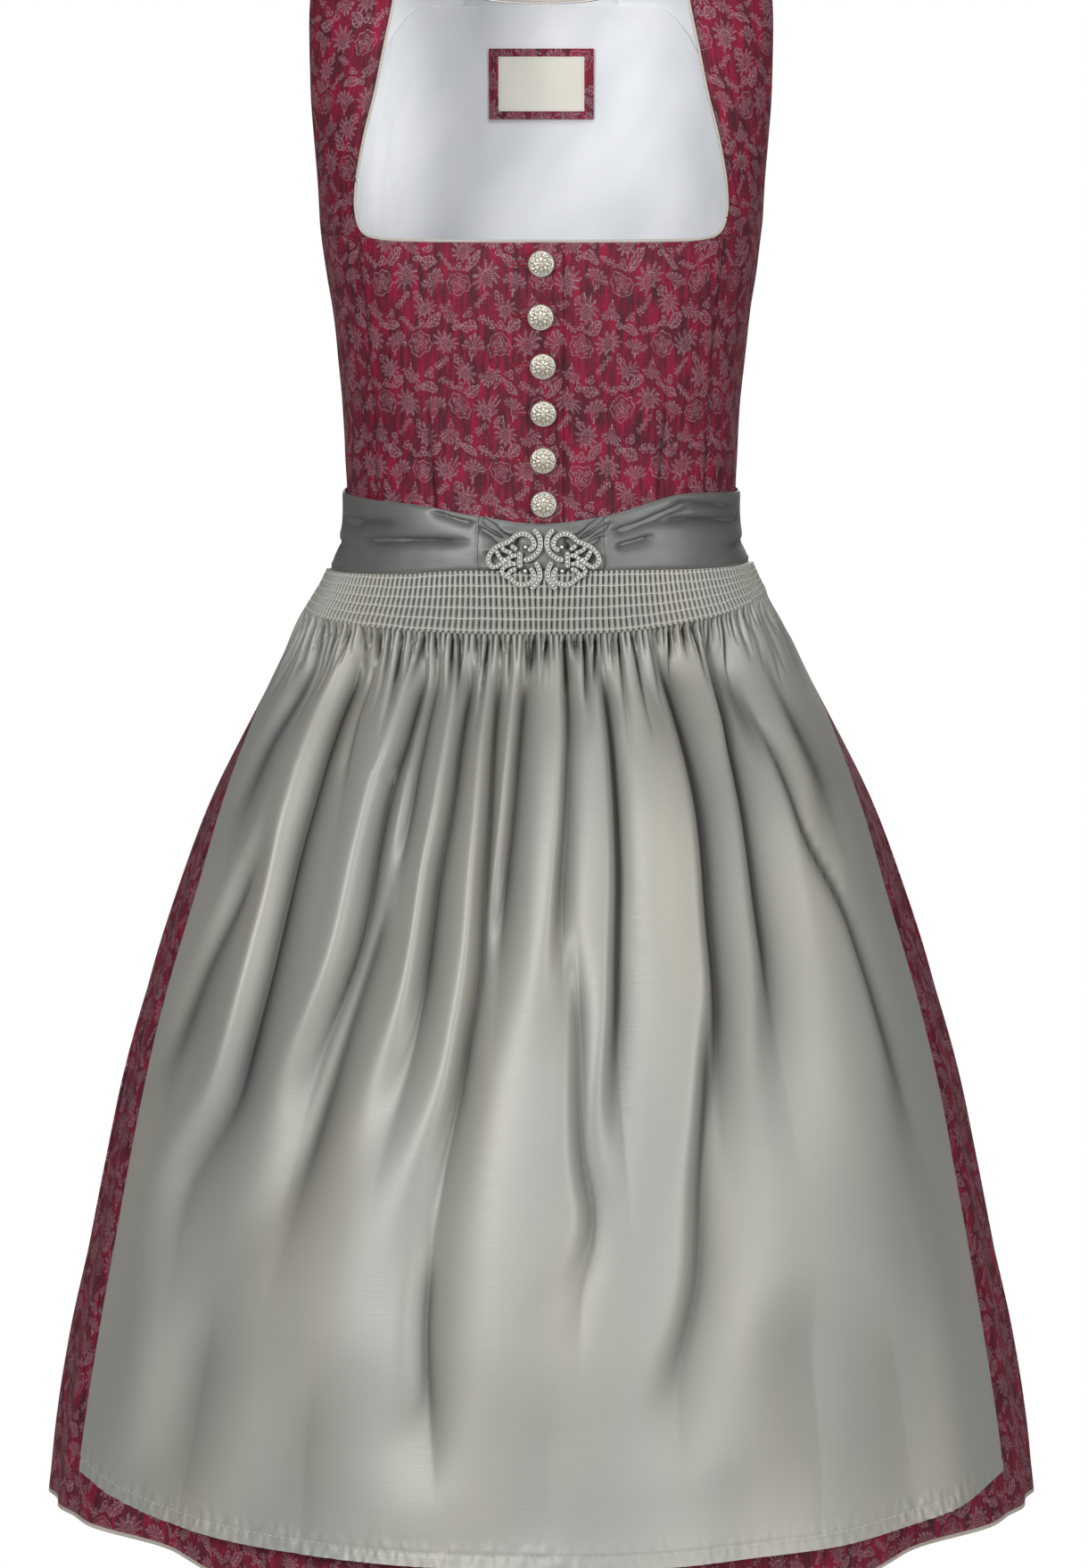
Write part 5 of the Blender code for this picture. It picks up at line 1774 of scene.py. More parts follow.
@dataclass
class Apron:
    """The taffeta apron: a smocked yoke, and a skirt gathered below it."""

    ribs: int = 108
    rib_rise: float = 0.0040
    foot: float = 0.0010
    inside: float = 0.0004
    thread_rows: int = 6
    thread_first: float = 0.06
    thread_step: float = 0.174
    slits: int = 52
    wall: float = 0.0012
    lift: float = 0.0072
    edge_lift: float = 0.0024
    gather: float = 0.0034
    hem_stitch: float = 0.0085
    crisp: float = 2.0
    cusp: float = 1.1
    deepest: float = 0.0300

    def build(self) -> None:
        """Make the yoke, its threads, the skirt and its hem stitches."""
        self.yoke()
        self.threads()
        self.skirt()

    def yoke_grid(self, share: Array, rows: int) -> tuple[Array, Array]:
        """The places of the yoke.

        Args:
            share: shares of the way across.
            rows: how many rows it has, from its lower edge up.

        Returns:
            The angle and the station of each place.
        """
        angle = FORM.spread(-88.0, 88.0, share, np.array([[-0.445]]))
        top = monotone(BELT, "bottom", angle) - SEAM_GAP
        bottom = monotone(BELT, "yoke_bottom", angle)
        rise = shares(rows).T
        return angle + 0 * rise, bottom + rise * (top - bottom)

    def rib_tree(self) -> tuple[NodeTree, dict]:
        """The tree that raises the ribs of the smocking, pinches them at each row of thread, and marks
        painted shade in the slots between them.

        Returns:
            The tree, and the identifier of each of its inputs by name.
        """
        sizes = dict.fromkeys(("Ribs", "Rise", "First", "Step"), "Float")
        inputs = {"Geometry": "Geometry", **sizes}
        tree, found = socket_tree("smocked_ribs", "GeometryNodeTree", inputs, {"Geometry": "Geometry"})
        tree.is_modifier = True
        given = add(tree, "NodeGroupInput").outputs
        named = "GeometryNodeInputNamedAttribute"
        kinds = {"share": "FLOAT", "rise": "FLOAT", "weight": "FLOAT", "out": "FLOAT_VECTOR"}
        share, rise, weight, out = (
            Field(tree, add(tree, named, {"Name": name}, data_type=kind).outputs[0])
            for name, kind in kinds.items()
        )
        ribs, height, first, step = (Field(tree, given[name]) for name in sizes)
        wave = ((share * ribs * math.pi).sin().size() * 2.0 + share * 0.25 - 0.45).clamped()
        row = (rise - first).of("DIVIDE", step)
        tight = (row * math.pi).cos().size().of("POWER", 10.0)
        filled = wave + (wave * -1.0 + 1.0) * tight * 0.7
        lifted = filled * (tight * -0.10 + 1.0) * height * weight
        move = add(tree, "ShaderNodeVectorMath", {0: out, "Scale": lifted}, operation="SCALE")
        inputs = {"Geometry": given["Geometry"], "Offset": move.outputs[0]}
        inputs = {"Geometry": add(tree, "GeometryNodeSetPosition", inputs).outputs[0]}
        # Painted shade: the slots between the ribs are marked to be painted darker.
        inputs |= {"Name": "hollow", "Value": (filled * -1.0 + 1.0) * weight}
        kept = add(tree, "GeometryNodeStoreNamedAttribute", inputs, data_type="FLOAT", domain="POINT")
        real = add(tree, "GeometryNodeRealizeInstances", {"Geometry": kept.outputs[0]})
        inputs = {"Geometry": real.outputs[0], "Material": WARDROBE.taffeta.material()}
        add(tree, "NodeGroupOutput", {"Geometry": add(tree, "GeometryNodeSetMaterial", inputs).outputs[0]})
        return tree, found

    def yoke(self) -> None:
        """The smocked yoke, its ribs raised by Geometry Nodes over a plain inside."""
        rows = 45
        share = shares(6 * self.ribs + 1)
        angle, station = self.yoke_grid(share, rows)
        uv = gathered_map(0.95, share, FORM.layer(angle, station, self.foot))
        more = {"wall": self.foot - self.inside, "uv": uv, "sharp": 80.0}
        panel = Panel("apron_yoke", "taffeta", "taffeta", WARDROBE.taffeta, angle, station, self.foot, **more)
        obj = panel.mesh()
        rise, out = shares(rows).T + 0 * share, FORM.outward(angle, station).reshape(-1, 3)
        store(obj.data, "share", np.tile((share + 0 * rise).reshape(-1), 2))
        store(obj.data, "rise", np.tile(rise.reshape(-1), 2))
        store(obj.data, "weight", np.repeat([1.0, 0.0], rise.size))
        store(obj.data, "out", np.tile(out, (2, 1)))
        tree, sockets = self.rib_tree()
        values = {"Ribs": float(self.ribs), "Rise": self.rib_rise}
        values |= {"First": self.thread_first, "Step": self.thread_step}
        made = realised(obj, tree, {sockets[name]: value for name, value in values.items()})
        for name in ("share", "rise", "weight", "out"):
            made.attributes.remove(made.attributes[name])
        placed(obj, "taffeta", "apron_yoke")

    def threads(self) -> None:
        """The pale rows of smocking thread over the ribs."""
        share = shares(6 * self.ribs + 1)
        angle, station = self.yoke_grid(share, 2)
        wave = np.abs(np.sin(share[0] * self.ribs * math.pi)) * 2.0 + share[0] * 0.25 - 0.45
        wave = np.clip(wave, 0.0, 1.0)
        offset = self.foot + self.rib_rise * 0.90 * (0.7 + 0.3 * wave) + 0.00015
        rows = []
        for number in range(self.thread_rows):
            rise = self.thread_first + self.thread_step * number
            sway = 0.0004 * soft_noise(share[0] * 60, 0 * share[0], 80 + number)
            level = station[0] + (station[1] - station[0]) * rise + sway
            points = FORM.layer(angle[0], level, offset)
            rows.append(round_cord(f"thread_{number}", points, 0.00036, 5, False, WARDROBE.pale_thread))
        placed(joined("apron_smocking_threads", rows), "taffeta")

    def troughs(self, across: Array, station: Array, half_width: Array) -> tuple[Array, Array]:
        """The depth of all the apron's troughs at each place, and how far each place lies in one, for the
        painted shade.

        Args:
            across: places across, from -1 at one side edge to 1 at the other.
            station: the place's station.
            half_width: metres from the middle to the side edge there.

        Returns:
            Depths in metres, and the painted shade: shares from 0 on the open cloth to 1 in the bottom of a
                deep trough.
        """
        depth = 0.0 * across * station
        within = depth
        for number, trough in enumerate(APRON_FOLDS):
            foot, top = trough.path[0].height, trough.path[-1].height
            wander = 0.006 * soft_noise(-station / 0.07, 0.0 * station + number, 61)
            centre = monotone(trough.path, "at", station) + wander * ease(-station, 0.5, 0.6)
            begins = ease(-station, -top - 0.020, -top + 0.045)
            done = ease(-station, -foot - 0.40 * (top - foot), -foot + 0.040)
            broad = 1.00 + 0.60 * ease(-station, -top, -foot)
            away = (across - centre) * half_width / MM
            sharp = np.exp(-(np.abs(away / ((trough.left + 1.2) * broad * (1 + 3.0 * done))) ** self.crisp))
            gentle = np.exp(-(np.abs(away / (trough.right * broad)) ** self.cusp))
            wall = begins * (1 - done) * np.where(away < 0, sharp, gentle)
            depth = depth + trough.depth * MM * wall
            # Painted shade, darkest by each trough's steep side and weaker where the trough is broad.
            narrow = min(1.0, trough.depth / max(12.0, 1.6 * trough.left))
            within = np.maximum(within, narrow * wall**2.5)
        return self.deepest * np.tanh((1.25 - 0.35 * across) * depth / self.deepest), within

    def creases(self, share: Array, below: Array, girth: Array) -> Array:
        """The depth of the short creases in which the smocking's ribs run together.

        Args:
            share: the share of the way across, from one side edge to the other.
            below: metres below the yoke.
            girth: metres from one side edge to the other there.

        Returns:
            Depths in metres.
        """
        depth = 0.0 * share * below
        dice = np.random.default_rng(17)
        for number in range(self.slits):
            centre = (number + 0.5 + dice.uniform(-0.32, 0.32)) / self.slits
            length, lean = dice.uniform(0.020, 0.085), dice.uniform(-0.12, 0.12)
            deep, left, right = dice.uniform(0.004, 0.008), 0.0008, dice.uniform(0.0015, 0.0055)
            away = (share - centre) * girth - lean * below
            sides = np.where(away < 0, left, right) * (1 + below / 0.06)
            fade = 1 - ease(below, 0.3 * length, length)
            depth = depth + deep * fade * np.exp(-(np.abs(away / sides) ** 1.1))
        return depth

    def skirt(self) -> None:
        """The apron's skirt: many small gathers that run together into large soft folds."""
        share = shares(5 * self.ribs + 1)
        top_angle = FORM.spread(-88.0, 88.0, share, np.array([[-0.470]]))
        top = monotone(BELT, "yoke_bottom", top_angle) - SEAM_GAP
        bottom = monotone(APRON_HEM, "height", 2 * share - 1)
        parts = (0.0, 0.15, 32), (0.15, 0.965, 47), (0.965, 1.0, 13)
        drop = np.unique(np.concatenate([np.linspace(*part) for part in parts]))[:, None]
        station = top + drop * (bottom - top)
        reach = monotone(APRON_SIDE, "at", station)
        angle = FORM.spread(-reach, reach, share, station)
        edge = FORM.point(reach, station)[..., 0]
        across = FORM.point(angle, station)[..., 0] / edge
        inward = 1 - ease(np.abs(across), 0.86, 0.985)
        fallen = -station
        offset = self.edge_lift + (self.lift - self.edge_lift) * inward * ease(fallen, 0.46, 0.56)
        offset = offset + 0.0010 * (1 - ease(fallen, 0.46, 0.50))
        below = top - station
        ripple = np.abs(np.sin(share * self.ribs * math.pi)) ** 0.8 - 0.45
        reach_down = 0.026 + 0.014 * soft_noise(share * 51, 0 * share, 42)
        fine = self.gather * ripple * (1 - ease(below, 0.003, reach_down))
        girth = run_length(FORM.point(angle, station), axis=1)[:, -1:]
        short = self.creases(share, below, girth) * ease(below, -0.001, 0.006)
        drape = 0.0040 * soft_noise(share * 13, below / 0.21, 44)
        drape = drape + 0.0016 * soft_noise(share * 31, below / 0.15, 47) * (1 - ease(below, 0.10, 0.32))
        drape = drape * ease(below, 0.03, 0.2) * inward
        folds, within = self.troughs(across, station, edge)
        folds = folds * (0.12 + 0.88 * inward) * (0.62 + 0.38 * ease(below, 0.0, 0.040))
        # Painted shade in the troughs, the short creases and the slots below the yoke.
        slot = (0.55 - ripple) * (1 - ease(below, 0.003, 0.024))
        dark = np.maximum(within, (short / 0.0066) ** 2.0)
        hollow = np.clip(np.maximum(dark, 0.60 * slot), 0.0, 1.0)
        above_hem = station - bottom
        hem = np.exp(-(((above_hem - self.hem_stitch) / 0.0011) ** 2))
        uneven = 0.4 + 0.6 * ease(soft_noise(share * 9, 0 * share, 46), -0.2, 0.6)
        pucker = soft_noise(share * 260, above_hem / 0.006, 45) * uneven
        near_hem = 1 - ease(above_hem, self.hem_stitch, self.hem_stitch + 0.014)
        offset = offset + fine + drape - short - folds - 0.0006 * hem + 0.0006 * pucker * near_hem
        more = {"wall": self.wall, "hollow": hollow, "sharp": 70.0}
        more["uv"] = gathered_map(0.95, share, FORM.layer(angle, station, 0.0))
        panel = Panel("apron_skirt", "taffeta", "taffeta", WARDROBE.taffeta, angle, station, offset, **more)
        panel.build()
        self.hem_stitches(FORM.layer(angle, station, offset), above_hem)

    def hem_stitches(self, outer: Array, above_hem: Array) -> None:
        """The row of stitches that holds the hem.

        Args:
            outer: the points of the apron's face, [row][column][3].
            above_hem: metres from the hem up to each of them.
        """
        rows = np.argmin(np.abs(above_hem - self.hem_stitch), axis=0)
        line = outer[rows, np.arange(outer.shape[1])]
        places = np.arange(0.004, run_length(line, axis=0)[-1] - 0.004, 0.0042)
        points = resampled(line, places, line)
        along = frame_along(points)
        out = np.cross(along, [0.0, 0.0, 1.0])
        out = np.where((out[:, 1] > 0)[:, None], -out, out)
        thread = Scatter(Unit.STITCH, WARDROBE.pale_thread)
        obj = thread.build("apron_hem_stitches", points + out * 0.0001, along, out, (0.0028, 0.0005, 0.0004))
        placed(obj, "taffeta")


class Crease(NamedTuple):
    """A crease or a ridge of the belt, from one angle and share of its height to another."""

    angle: float
    rise: float
    last_angle: float
    last_rise: float
    width: float
    depth: float


BELT_CREASES = tuple(
    Crease(*row)
    for row in (
        (-4.0, 0.62, -14.0, 0.96, 0.0022, 0.0016), (-4.0, 0.50, -15.0, 0.78, 0.0020, 0.0014),
        (-5.0, 0.30, -13.0, 0.34, 0.0018, 0.0008), (4.0, 0.62, 15.0, 0.98, 0.0022, 0.0017),
        (4.5, 0.50, 17.0, 0.84, 0.0019, 0.0014), (5.0, 0.38, 15.0, 0.62, 0.0018, 0.0010),
        (5.0, 0.22, 14.0, 0.26, 0.0018, 0.0007), (-16.0, 0.52, -62.0, 0.46, 0.0030, 0.0010),
        (-15.0, 0.86, -30.0, 0.95, 0.0022, 0.0009), (-40.0, 0.72, -88.0, 0.66, 0.0040, 0.0007),
        (-70.0, 0.34, -150.0, 0.38, 0.0040, 0.0008), (-100.0, 0.70, -176.0, 0.62, 0.0035, 0.0008),
        (15.5, 0.70, 44.0, 0.84, 0.0030, 0.0012), (17.0, 0.44, 30.0, 0.50, 0.0024, 0.0009),
        (30.0, 0.68, 88.0, 0.62, 0.0032, 0.0009), (36.0, 0.90, 74.0, 0.82, 0.0028, 0.0008),
        (60.0, 0.28, 150.0, 0.34, 0.0040, 0.0008), (100.0, 0.66, 176.0, 0.58, 0.0035, 0.0008),
    )
)


@dataclass
class Belt:
    """The satin belt in three lengths, softly pleated and drawn in behind the clasp."""

    gap: float = 0.0010
    wall: float = 0.0016
    seam: float = 14.3
    seam_gap: float = 0.06
    crease: float = 3.0
    puff: float = 0.0014

    def build(self) -> None:
        """Make the three lengths and the stitches along the lower edge."""
        gap = self.seam_gap
        for name, first, last, columns, flat in (
            ("belt_centre", -self.seam + gap, self.seam - gap, 90, (0.055, 0.040)),
            ("belt_left", self.seam + gap, 180.0 - gap, 230, (0.345, 0.055)),
            ("belt_right", -180.0 + gap, -self.seam - gap, 230, (0.345, 0.055)),
        ):
            angle = FORM.spread(first, last, shares(columns), np.array([[-0.41]]))
            top, bottom = monotone(BELT, "top", angle), monotone(BELT, "bottom", angle)
            rise = shares(40).T
            station = bottom + rise * (top - bottom)
            angle = angle + 0 * rise
            relief, hollow = self.relief(angle, rise, top - bottom)
            seams = 0.5 * seam_dip(FORM.layer(angle, station, self.gap), 0.0009, 0.0016)
            rolled = 0.0006 * (ease(rise, 0.0, 0.05) * ease(1 - rise, 0.0, 0.05) - 1)
            wall = self.wall + relief - seams + rolled
            more = {"wall": wall, "hollow": hollow}
            satin = WARDROBE.satin
            obj = Panel(name, "satin", "satin", satin, angle, station, self.gap + wall, **more).build()
        self.stitches()

    def relief(self, angle: Array, rise: Array, height: Array) -> tuple[Array, Array]:
        """The rise of the creases and of the soft roll between them, and the painted shade in the creases.

        Args:
            angle: the angle of each place.
            rise: the share of the belt's height at which it lies.
            height: the belt's height there.

        Returns:
            How far each place stands out, and the painted shade: how deep in a crease it lies, from 0 to 1.
        """
        depth = 0.0 * angle
        for crease in BELT_CREASES:
            share = (angle - crease.angle) / (crease.last_angle - crease.angle)
            centre = crease.rise + (crease.last_rise - crease.rise) * ease(share, 0.0, 1.0)
            inside = ease(share, -0.05, 0.18) * (1 - ease(share, 0.72, 1.05))
            away = (rise - centre) * height
            sharp = np.where(away > 0, crease.width * 0.55, crease.width * 1.5)
            depth = depth - self.crease * crease.depth * inside * np.exp(-(np.abs(away / sharp) ** 1.5))
        near = 1 - ease(np.abs(angle), self.seam * 0.55, self.seam * 1.15)
        fan_out = 0.0011 * near * np.cos((rise - 0.5) * 17.0 + np.abs(angle) * 0.25)
        fan_out = fan_out * ease(np.abs(angle), 1.0, 6.0)
        soft = 0.0007 * soft_noise(angle / 17.0, rise * 2.6, 21)
        soft = soft + 0.0003 * soft_noise(angle / 5.0, rise * 4.0, 22)
        puff = self.puff * (1 - 0.75 * ease(np.abs(angle), 40.0, 75.0))
        # The second value is painted shade for the creases.
        return depth + (puff + fan_out + soft) * np.sin(rise * math.pi) ** 0.5, depth / -0.0034

    def stitches(self) -> None:
        """A row of dark stitches near the lower edge, all the way round."""
        angle = np.linspace(-179.5, 179.5, 1600)
        bottom = monotone(BELT, "bottom", angle) + 0.0026
        line = FORM.layer(angle, bottom, self.gap + self.wall + 0.00015)
        places = np.arange(0.002, run_length(line, axis=0)[-1], 0.0034)
        read = resampled(line, places, np.column_stack([line, angle]))
        points, at = read[:, :3], read[:, 3]
        out = FORM.outward(at, np.interp(at, angle, bottom))
        thread = Scatter(Unit.STITCH, WARDROBE.grey_thread)
        obj = thread.build("belt_stitches", points, frame_along(points), out, (0.0024, 0.0005, 0.0004))
        placed(obj, "satin")


class ButtonPlace(NamedTuple):
    """A button's height and its distance from the middle."""

    height: float
    aside: float


BUTTONS = tuple(
    ButtonPlace(*row)
    for row in (
        (-0.2268, 0.0000), (-0.2608, -0.0004), (-0.2927, 0.0010), (-0.3237, 0.0014), (-0.3547, 0.0012),
        (-0.3838, 0.0016),
    )
)


@dataclass
class Fastening:
    """The six domed buttons with their buttonholes."""

    radius: float = 0.0085
    height: float = 0.0078
    under: float = 0.0022
    shank: float = 0.0026
    petals: int = 8
    hole_start: float = -0.0070
    hole_length: float = 0.0115
    hole_half: float = 0.0011

    def build(self) -> None:
        """Make each button and its buttonhole."""
        beads, threads = [], []
        for number, button in enumerate(BUTTONS, start=1):
            place, turn = self.seat(button)
            placed(self.dome(f"button_{number}_silver", place, turn), "button_metal", f"button_{number}")
            beads.append(self.granules(place, turn))
            threads.append(self.buttonhole(button))
        points, out = (np.concatenate([pair[k] for pair in beads]) for k in (0, 1))
        side = np.cross(out, [0.0, 0.0, 1.0])
        small = Scatter(Unit.BEAD, WARDROBE.button_silver)
        obj = small.build("button_granules", points, side, out, (0.00115, 0.00115, 0.00095))
        placed(obj, "button_metal")
        points, along, out = (np.concatenate([part[k] for part in threads]) for k in (0, 1, 2))
        thread = Scatter(Unit.STITCH, WARDROBE.red_thread)
        obj = thread.build("buttonhole_stitches", points, along, out, (0.00125, 0.00042, 0.0004))
        placed(obj, "jacquard")

    def seat(self, button: ButtonPlace) -> tuple[Vector, Matrix]:
        """Where a button sits.

        Args:
            button: the button.

        Returns:
            Its place, and its turn out of the cloth.
        """
        angle = FORM.angle_at(button.aside if abs(button.aside) > 1e-6 else 1e-6, button.height)
        place = FORM.layer(angle, button.height, SEAM_GAP)
        lean = FORM.outward(np.asarray(angle, float), np.asarray(button.height, float))
        return Vector(place), Matrix.Rotation(math.atan2(-lean[2], -lean[1]), 3, "X")

    def dome(self, name: str, place: Vector, turn: Matrix) -> Object:
        """A stamped dome with a rosette, a roped rim and its shank behind.

        Args:
            name: the button's name.
            place: where it sits.
            turn: its turn out of the cloth.

        Returns:
            The object.
        """
        sides, rings = 96, 26
        around = np.arange(sides) * 2 * math.pi / sides
        inside = np.linspace(1.0, 0.02, rings)[:, None]
        rosette_relief = 0.5 + 0.5 * np.cos(self.petals * around)[None, :] * np.cos((inside - 0.42) * 9.0)
        middle = np.exp(-((inside / 0.22) ** 2)) + np.exp(-(((inside - 0.93) / 0.045) ** 2))
        scroll = 0.5 + 0.5 * np.cos(16 * around + 14 * inside)
        band = np.exp(-(((inside - 0.72) / 0.10) ** 2))
        relief = np.clip(0.60 * rosette_relief * (1 - band) + 0.75 * scroll * band + 0.4 * middle, 0.0, 1.0)
        rope = 1 + 0.028 * np.cos(28 * around)[None, :] * ease(inside, 0.85, 1.0)
        radius = self.radius * inside * rope
        base = self.under + 0.0012
        out = base + (self.height - base - 0.0007) * np.sqrt(np.maximum(1 - inside**2, 0.0)) + 0.0007 * relief
        back = ((self.shank, 0.0), (self.shank, self.under), (self.radius * 0.93, self.under + 0.0002))
        back_radius, back_out = (np.array(column)[:, None] + 0 * around for column in zip(*back))
        radii, outs = np.concatenate([back_radius, radius]), np.concatenate([back_out, out])
        rings = np.stack([radii * np.cos(around), -outs, radii * np.sin(around)], axis=-1)
        levels = np.concatenate([np.full((3, sides), 0.2), relief])
        rings = rings @ np.array(turn).T + np.array(place)
        return ring_mesh(name, rings, WARDROBE.button_silver, levels=levels)

    def granules(self, place: Vector, turn: Matrix) -> tuple[Array, Array]:
        """The beads round the rim and the middle.

        Args:
            place: where the button sits.
            turn: its turn out of the cloth.

        Returns:
            The point of each bead, and its direction.
        """
        points, out = [], []
        base = self.under + 0.0012
        for share, count in ((0.97, 26), (0.58, 16), (0.24, 8)):
            for step in range(count):
                angle = 2 * math.pi * (step + 0.5 * (count == 16)) / count
                x, z, fall = share * math.cos(angle), share * math.sin(angle), math.sqrt(1 - share**2)
                rise = base + (self.height - base) * fall
                points.append(turn @ Vector((x * self.radius, -rise, z * self.radius)) + place)
                out.append(turn @ Vector((x, -fall, z)))
        return np.array(points), np.array(out)

    def buttonhole(self, button: ButtonPlace) -> tuple[Array, Array, Array]:
        """The stitches round one buttonhole.

        Args:
            button: its button.

        Returns:
            The point of each stitch, its direction, and the direction out of the cloth.
        """
        across = np.arange(0.0, self.hole_length, 0.00050)
        x = button.aside + self.hole_start - across
        rows = [(x, np.full(x.shape, s * self.hole_half)) for s in (-1, 1)]
        ends = np.linspace(-self.hole_half, self.hole_half, 6)
        rows.append((np.full(6, button.aside + self.hole_start - self.hole_length - 0.0004), ends))
        xs, zs = (np.concatenate([row[k] for row in rows]) for k in (0, 1))
        station = button.height + zs
        angle = FORM.angle_at(xs, station)
        points = FORM.layer(angle, station, 0.00045)
        along = np.tile([0.0, 0.0, 1.0], (len(xs), 1))
        along[2 * len(across) :] = [1.0, 0.0, 0.0]
        return points, along, FORM.outward(angle, station)


class Scroll(NamedTuple):
    """A band of the clasp in millimetres: its sizes, and its points out from the split and up."""

    width: float
    depth: float
    path: tuple[tuple[float, float], ...]


def scroll(width: float, depth: float, *path: tuple[float, float]) -> Scroll:
    """A band of the clasp from its sizes and its points."""
    return Scroll(width, depth, path)


CLASP_SCROLLS = (
    scroll(
        3.0, 2.9, (6.4, 19.8), (2.9, 15.8), (1.9, 11.5), (2.1, 8.1), (3.6, 4.9), (6.0, 2.4), (9.1, 0.4),
        (12.8, -0.2),
    ),
    scroll(
        3.0, 2.85, (4.9, -1.2), (3.4, -4.5), (2.3, -8.1), (2.4, -11.6), (3.9, -14.7), (6.0, -17.2),
        (8.2, -19.2),
    ),
    scroll(
        2.8, 2.6, (21.3, 11.8), (19.5, 14.3), (16.6, 16.1), (13.0, 16.8), (9.4, 15.6), (6.7, 12.9),
        (6.0, 9.6), (7.5, 7.0), (10.2, 6.4),
    ),
    scroll(
        2.8, 2.6, (8.6, -5.2), (6.6, -8.0), (6.0, -11.4), (7.8, -14.4), (11.5, -16.0), (15.0, -16.3),
        (18.1, -14.9), (21.0, -12.4), (24.0, -10.4), (27.3, -8.8),
    ),
    scroll(
        2.8, 2.5, (21.0, 12.0), (23.8, 11.2), (27.0, 9.8), (29.8, 8.6), (32.4, 6.5), (34.4, 3.9),
        (35.6, 1.0), (35.4, -1.8), (33.6, -4.0), (30.8, -5.2),
    ),
    scroll(3.0, 3.1, (15.2, 5.4), (15.2, 0.0), (15.2, -5.4)),
    scroll(2.5, 2.3, (30.4, 6.0), (29.0, 3.0), (26.8, 0.2), (23.9, 0.0)),
    scroll(2.4, 2.2, (27.0, 8.3), (25.3, 6.3), (22.6, 5.0), (20.0, 4.4)),
    scroll(2.6, 2.4, (21.2, 9.2), (19.0, 7.8), (16.8, 6.4)),
    scroll(2.5, 2.3, (17.0, 2.9), (20.4, 2.3), (23.4, 0.2), (26.0, -1.8), (28.8, -3.4), (31.0, -5.1)),
    scroll(2.4, 2.2, (17.2, -3.0), (20.3, -2.4), (23.0, -0.3)),
    scroll(2.4, 2.2, (20.6, -3.2), (24.0, -4.0), (26.4, -6.2), (27.4, -8.9)),
    scroll(2.4, 2.2, (17.2, -6.0), (20.6, -6.9), (23.2, -9.8)),
)


